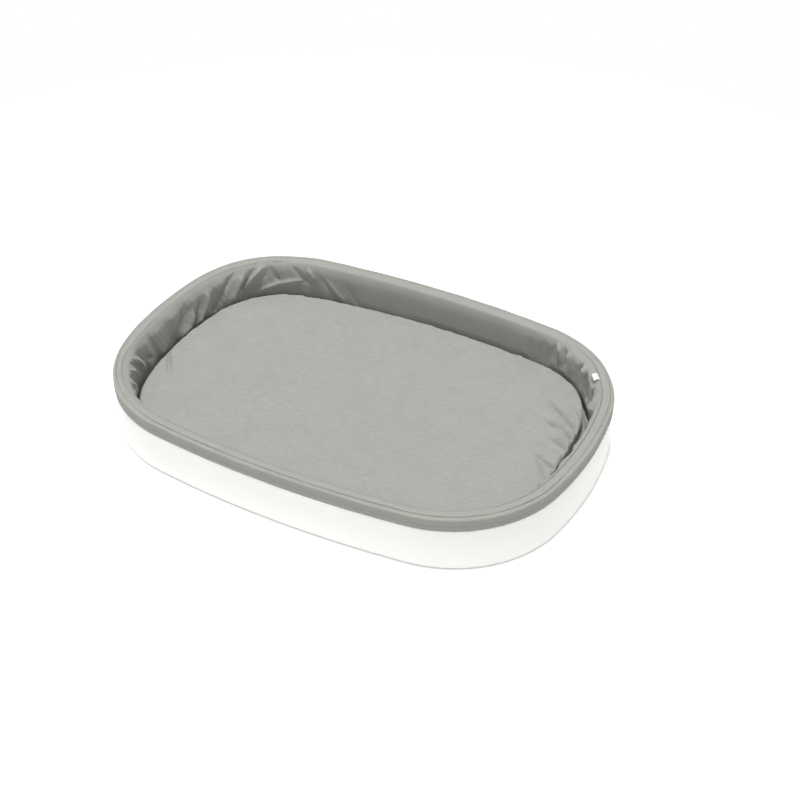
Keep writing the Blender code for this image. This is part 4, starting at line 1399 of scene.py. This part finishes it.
def make_mattress():
    grid, depths, count = pad_top_rows()
    waves = periodic(51, 20, 70, 0.4)
    ripples = periodic(53, 60, 140, 0.2)
    slow = 0.7 + 0.3 * periodic(52, 3, 11)(FINE_SHARES)

    def wide(depth):
        return waves(FINE_SHARES + depth * 0.25) * slow

    def small(depth):
        return ripples(FINE_SHARES + depth * 0.1)

    for index, depth in enumerate(depths):
        strength = min(1, max(0, index - 3) / (count - 3))
        row = grid[index]
        for (size, reach), wave in ((EDGE_WAVES, wide), (EDGE_RIPPLES, small)):
            row[:, 2] += size * math.exp(-((depth / reach) ** 2)) * strength * wave(depth)
        row[:, 2] += creases(row[:, 0], row[:, 1]) * strength
    skin(
        "mattress_top",
        grid,
        ("pad", "mattress", "melange_cloth"),
        "mattress_top_cover",
        caps=(False, True),
        wrong=floor_shows_down,
        flat=True,
        wall=COVER_CLOTH,
    )

    seam = waist(SEAM_HEIGHT)
    corner = (0, MATTRESS_BASE, MATTRESS_BOTTOM_RADIUS)
    path = rounded([(0.0160, MATTRESS_BASE, 0), corner, (seam, SEAM_HEIGHT, 0)])
    path[-1:] = [(seam + SEAM_BULGE, SEAM_HEIGHT - SEAM_LIP), (seam + SEAM_DEPTH, SEAM_HEIGHT)]
    skin(
        "mattress_base",
        pad_rings(path),
        ("lining", "mattress", "liner_cloth"),
        "mattress_base_cover",
        caps=(True, False),
        wrong=floor_shows_up,
        flat=True,
        wall=COVER_CLOTH,
    )
    make_filling()


WADDING_EDGE = 0.0110
FILLING_DEPTH = 0.0042


def make_filling():
    """Foam core and wadding inside the cover, a little below the cover's creases."""
    under = FILLING_DEPTH + WADDING + FIT_GAP
    low = MATTRESS_BASE + COVER_CLOTH + FIT_GAP
    side = COVER_CLOTH + 0.0009
    crowned = np.linspace(0.012, FLAT_REACH, 26)
    path = rounded(
        [
            (0.0120, low, 0),
            (side, low, MATTRESS_BOTTOM_RADIUS - COVER_CLOTH),
            (side + MATTRESS_WAIST, SEAM_HEIGHT, 0),
            (side, MATTRESS_EDGE - under, 0.0040),
            (0.0100, MATTRESS_EDGE - under, 0),
        ],
        3,
    )
    path += [(distance, MATTRESS_EDGE - under + crown(distance)) for distance in crowned]
    core = pad_rings(path)[:, ::3]
    upper = smooth((core[:, :, 2] - SEAM_HEIGHT) / 0.0040)
    core[:, :, 2] += np.minimum(creases(core[:, :, 0], core[:, :, 1]), 0) * upper
    looks = ("foam", "mattress", "foam")
    skin("mattress_core", core, looks, "mattress_foam_core", caps=(True, True))
    distances = np.linspace(WADDING_EDGE, FLAT_REACH, 30)
    layer = pad_rings([(d, MATTRESS_EDGE - FILLING_DEPTH + crown(d)) for d in distances])[:, ::2]
    layer[:, :, 2] += np.minimum(creases(layer[:, :, 0], layer[:, :, 1]), 0)
    skin(
        "wadding_layer",
        layer,
        ("wadding", "mattress", "wadding"),
        "mattress_wadding",
        caps=(False, True),
        wrong=floor_shows_down,
        wall=WADDING,
    )


SKY_LOW = 0.10
SKY_HIGH = 0.42
HORIZON_LIGHT = 4.9
HORIZON_LEAN = 0.65
HORIZON_REACH = 0.12
KEY_STRENGTH = 2.26
KEY_ANGLE = 8.0
KEY_DIRECTION = (0.02, 0.04, -1.0)
FLOOR_COLOR = srgb(251, 251, 250)
FLOOR_GLOW = 0.25
FLOOR_RADIUS = 1.25


def make_world():
    """A studio that is bright overhead and dim at its sides. What sees it sees white."""
    n = Nodes(bpy.data.worlds.new("studio"))
    bpy.context.scene.world = n.owner
    _, ahead, height = n.split(n.node("TexCoord", output="Generated"))
    fade = {"From_Max": HORIZON_REACH, "To_Min": HORIZON_LIGHT, "To_Max": 0.0}
    horizon = n.node("MapRange", Value=height, **fade)
    above = n.math("GREATER_THAN", height, 0.0)
    leaning = n.product(horizon, n.math("MULTIPLY_ADD", ahead, -HORIZON_LEAN, 1.0))
    level = n.math("MULTIPLY_ADD", leaning, above, n.scaled(height, SKY_LOW, SKY_HIGH))
    white = n.tree.nodes["Background"]
    white.inputs["Color"].default_value = (1, 1, 1, 1)
    white.inputs["Strength"].default_value = 1.0
    light = n.node("Background", (1, 1, 1, 1), level)
    mix = n.node("MixShader", n.camera_share(), light, white.outputs[0])
    n.fill(n.tree.nodes["World Output"].inputs["Surface"], mix)


def make_floor():
    bm = bmesh.new()
    bmesh.ops.create_circle(bm, cap_ends=True, segments=64, radius=FLOOR_RADIUS)
    mesh = bpy.data.meshes.new("studio_floor")
    bm.to_mesh(mesh)
    bm.free()
    n = Nodes(bpy.data.materials.new("studio_floor"))
    n.tree.nodes.remove(n.tree.nodes["Principled BSDF"])
    lit = n.node("BsdfDiffuse", (*FLOOR_COLOR, 1))
    glow = n.node("Emission", Strength=n.product(n.camera_share(), FLOOR_GLOW))
    both = n.node("AddShader", lit, glow)
    n.fill(n.tree.nodes["Material Output"].inputs["Surface"], both)
    mesh.materials.append(n.owner)
    new_object("studio_floor", mesh)


def aim(made, direction):
    made.rotation_mode = "QUATERNION"
    made.rotation_quaternion = Vector(direction).to_track_quat("-Z", "Y")


def make_lamps():
    lamp = bpy.data.lights.new("key", "SUN")
    lamp.energy = KEY_STRENGTH
    lamp.angle = math.radians(KEY_ANGLE)
    aim(new_object("key", lamp), KEY_DIRECTION)


def make_camera():
    data = bpy.data.cameras.new("camera")
    data.sensor_width = SENSOR
    data.lens = FOCAL_PIXELS / IMAGE_PIXELS * SENSOR
    data.clip_end = 50
    camera = new_object("camera", data)
    camera.location = CAMERA_PLACE
    level = math.cos(CAMERA_PITCH)
    across, ahead = math.sin(CAMERA_YAW) * level, math.cos(CAMERA_YAW) * level
    aim(camera, (across, ahead, math.sin(CAMERA_PITCH)))
    bpy.context.scene.camera = camera


# How far the mattress's outline is grown for its cut, in metres
SIDE_CUT = 0.0080


def enclosed(shape):
    """Area inside an outline, in square metres."""
    points = outline(shape, FINE_ANGLES)
    ahead = np.roll(points, -1, 0)
    return abs((points[:, 0] * ahead[:, 1] - ahead[:, 0] * points[:, 1]).sum()) / 2


def declare_soft():
    """Works out the area inside the liner floor's outline and inside the mattress's outline grown
    by its side cut, and keeps neither.
    """
    floor = inset(RIM, FLOOR_SEAM_INSET + FIT_GAP)
    enclosed(floor)
    under = mattress_shape()
    enclosed(inset(under, -SIDE_CUT))


make_camera()
make_world()
make_floor()
make_lamps()
make_shell()
make_tray()
finish_feet_and_screws()
make_floor_panel()
make_wall()
make_padding()
make_strip()
make_skirt()
make_label()
make_mattress()
declare_soft()

bpy.context.scene.view_settings.view_transform = "Standard"
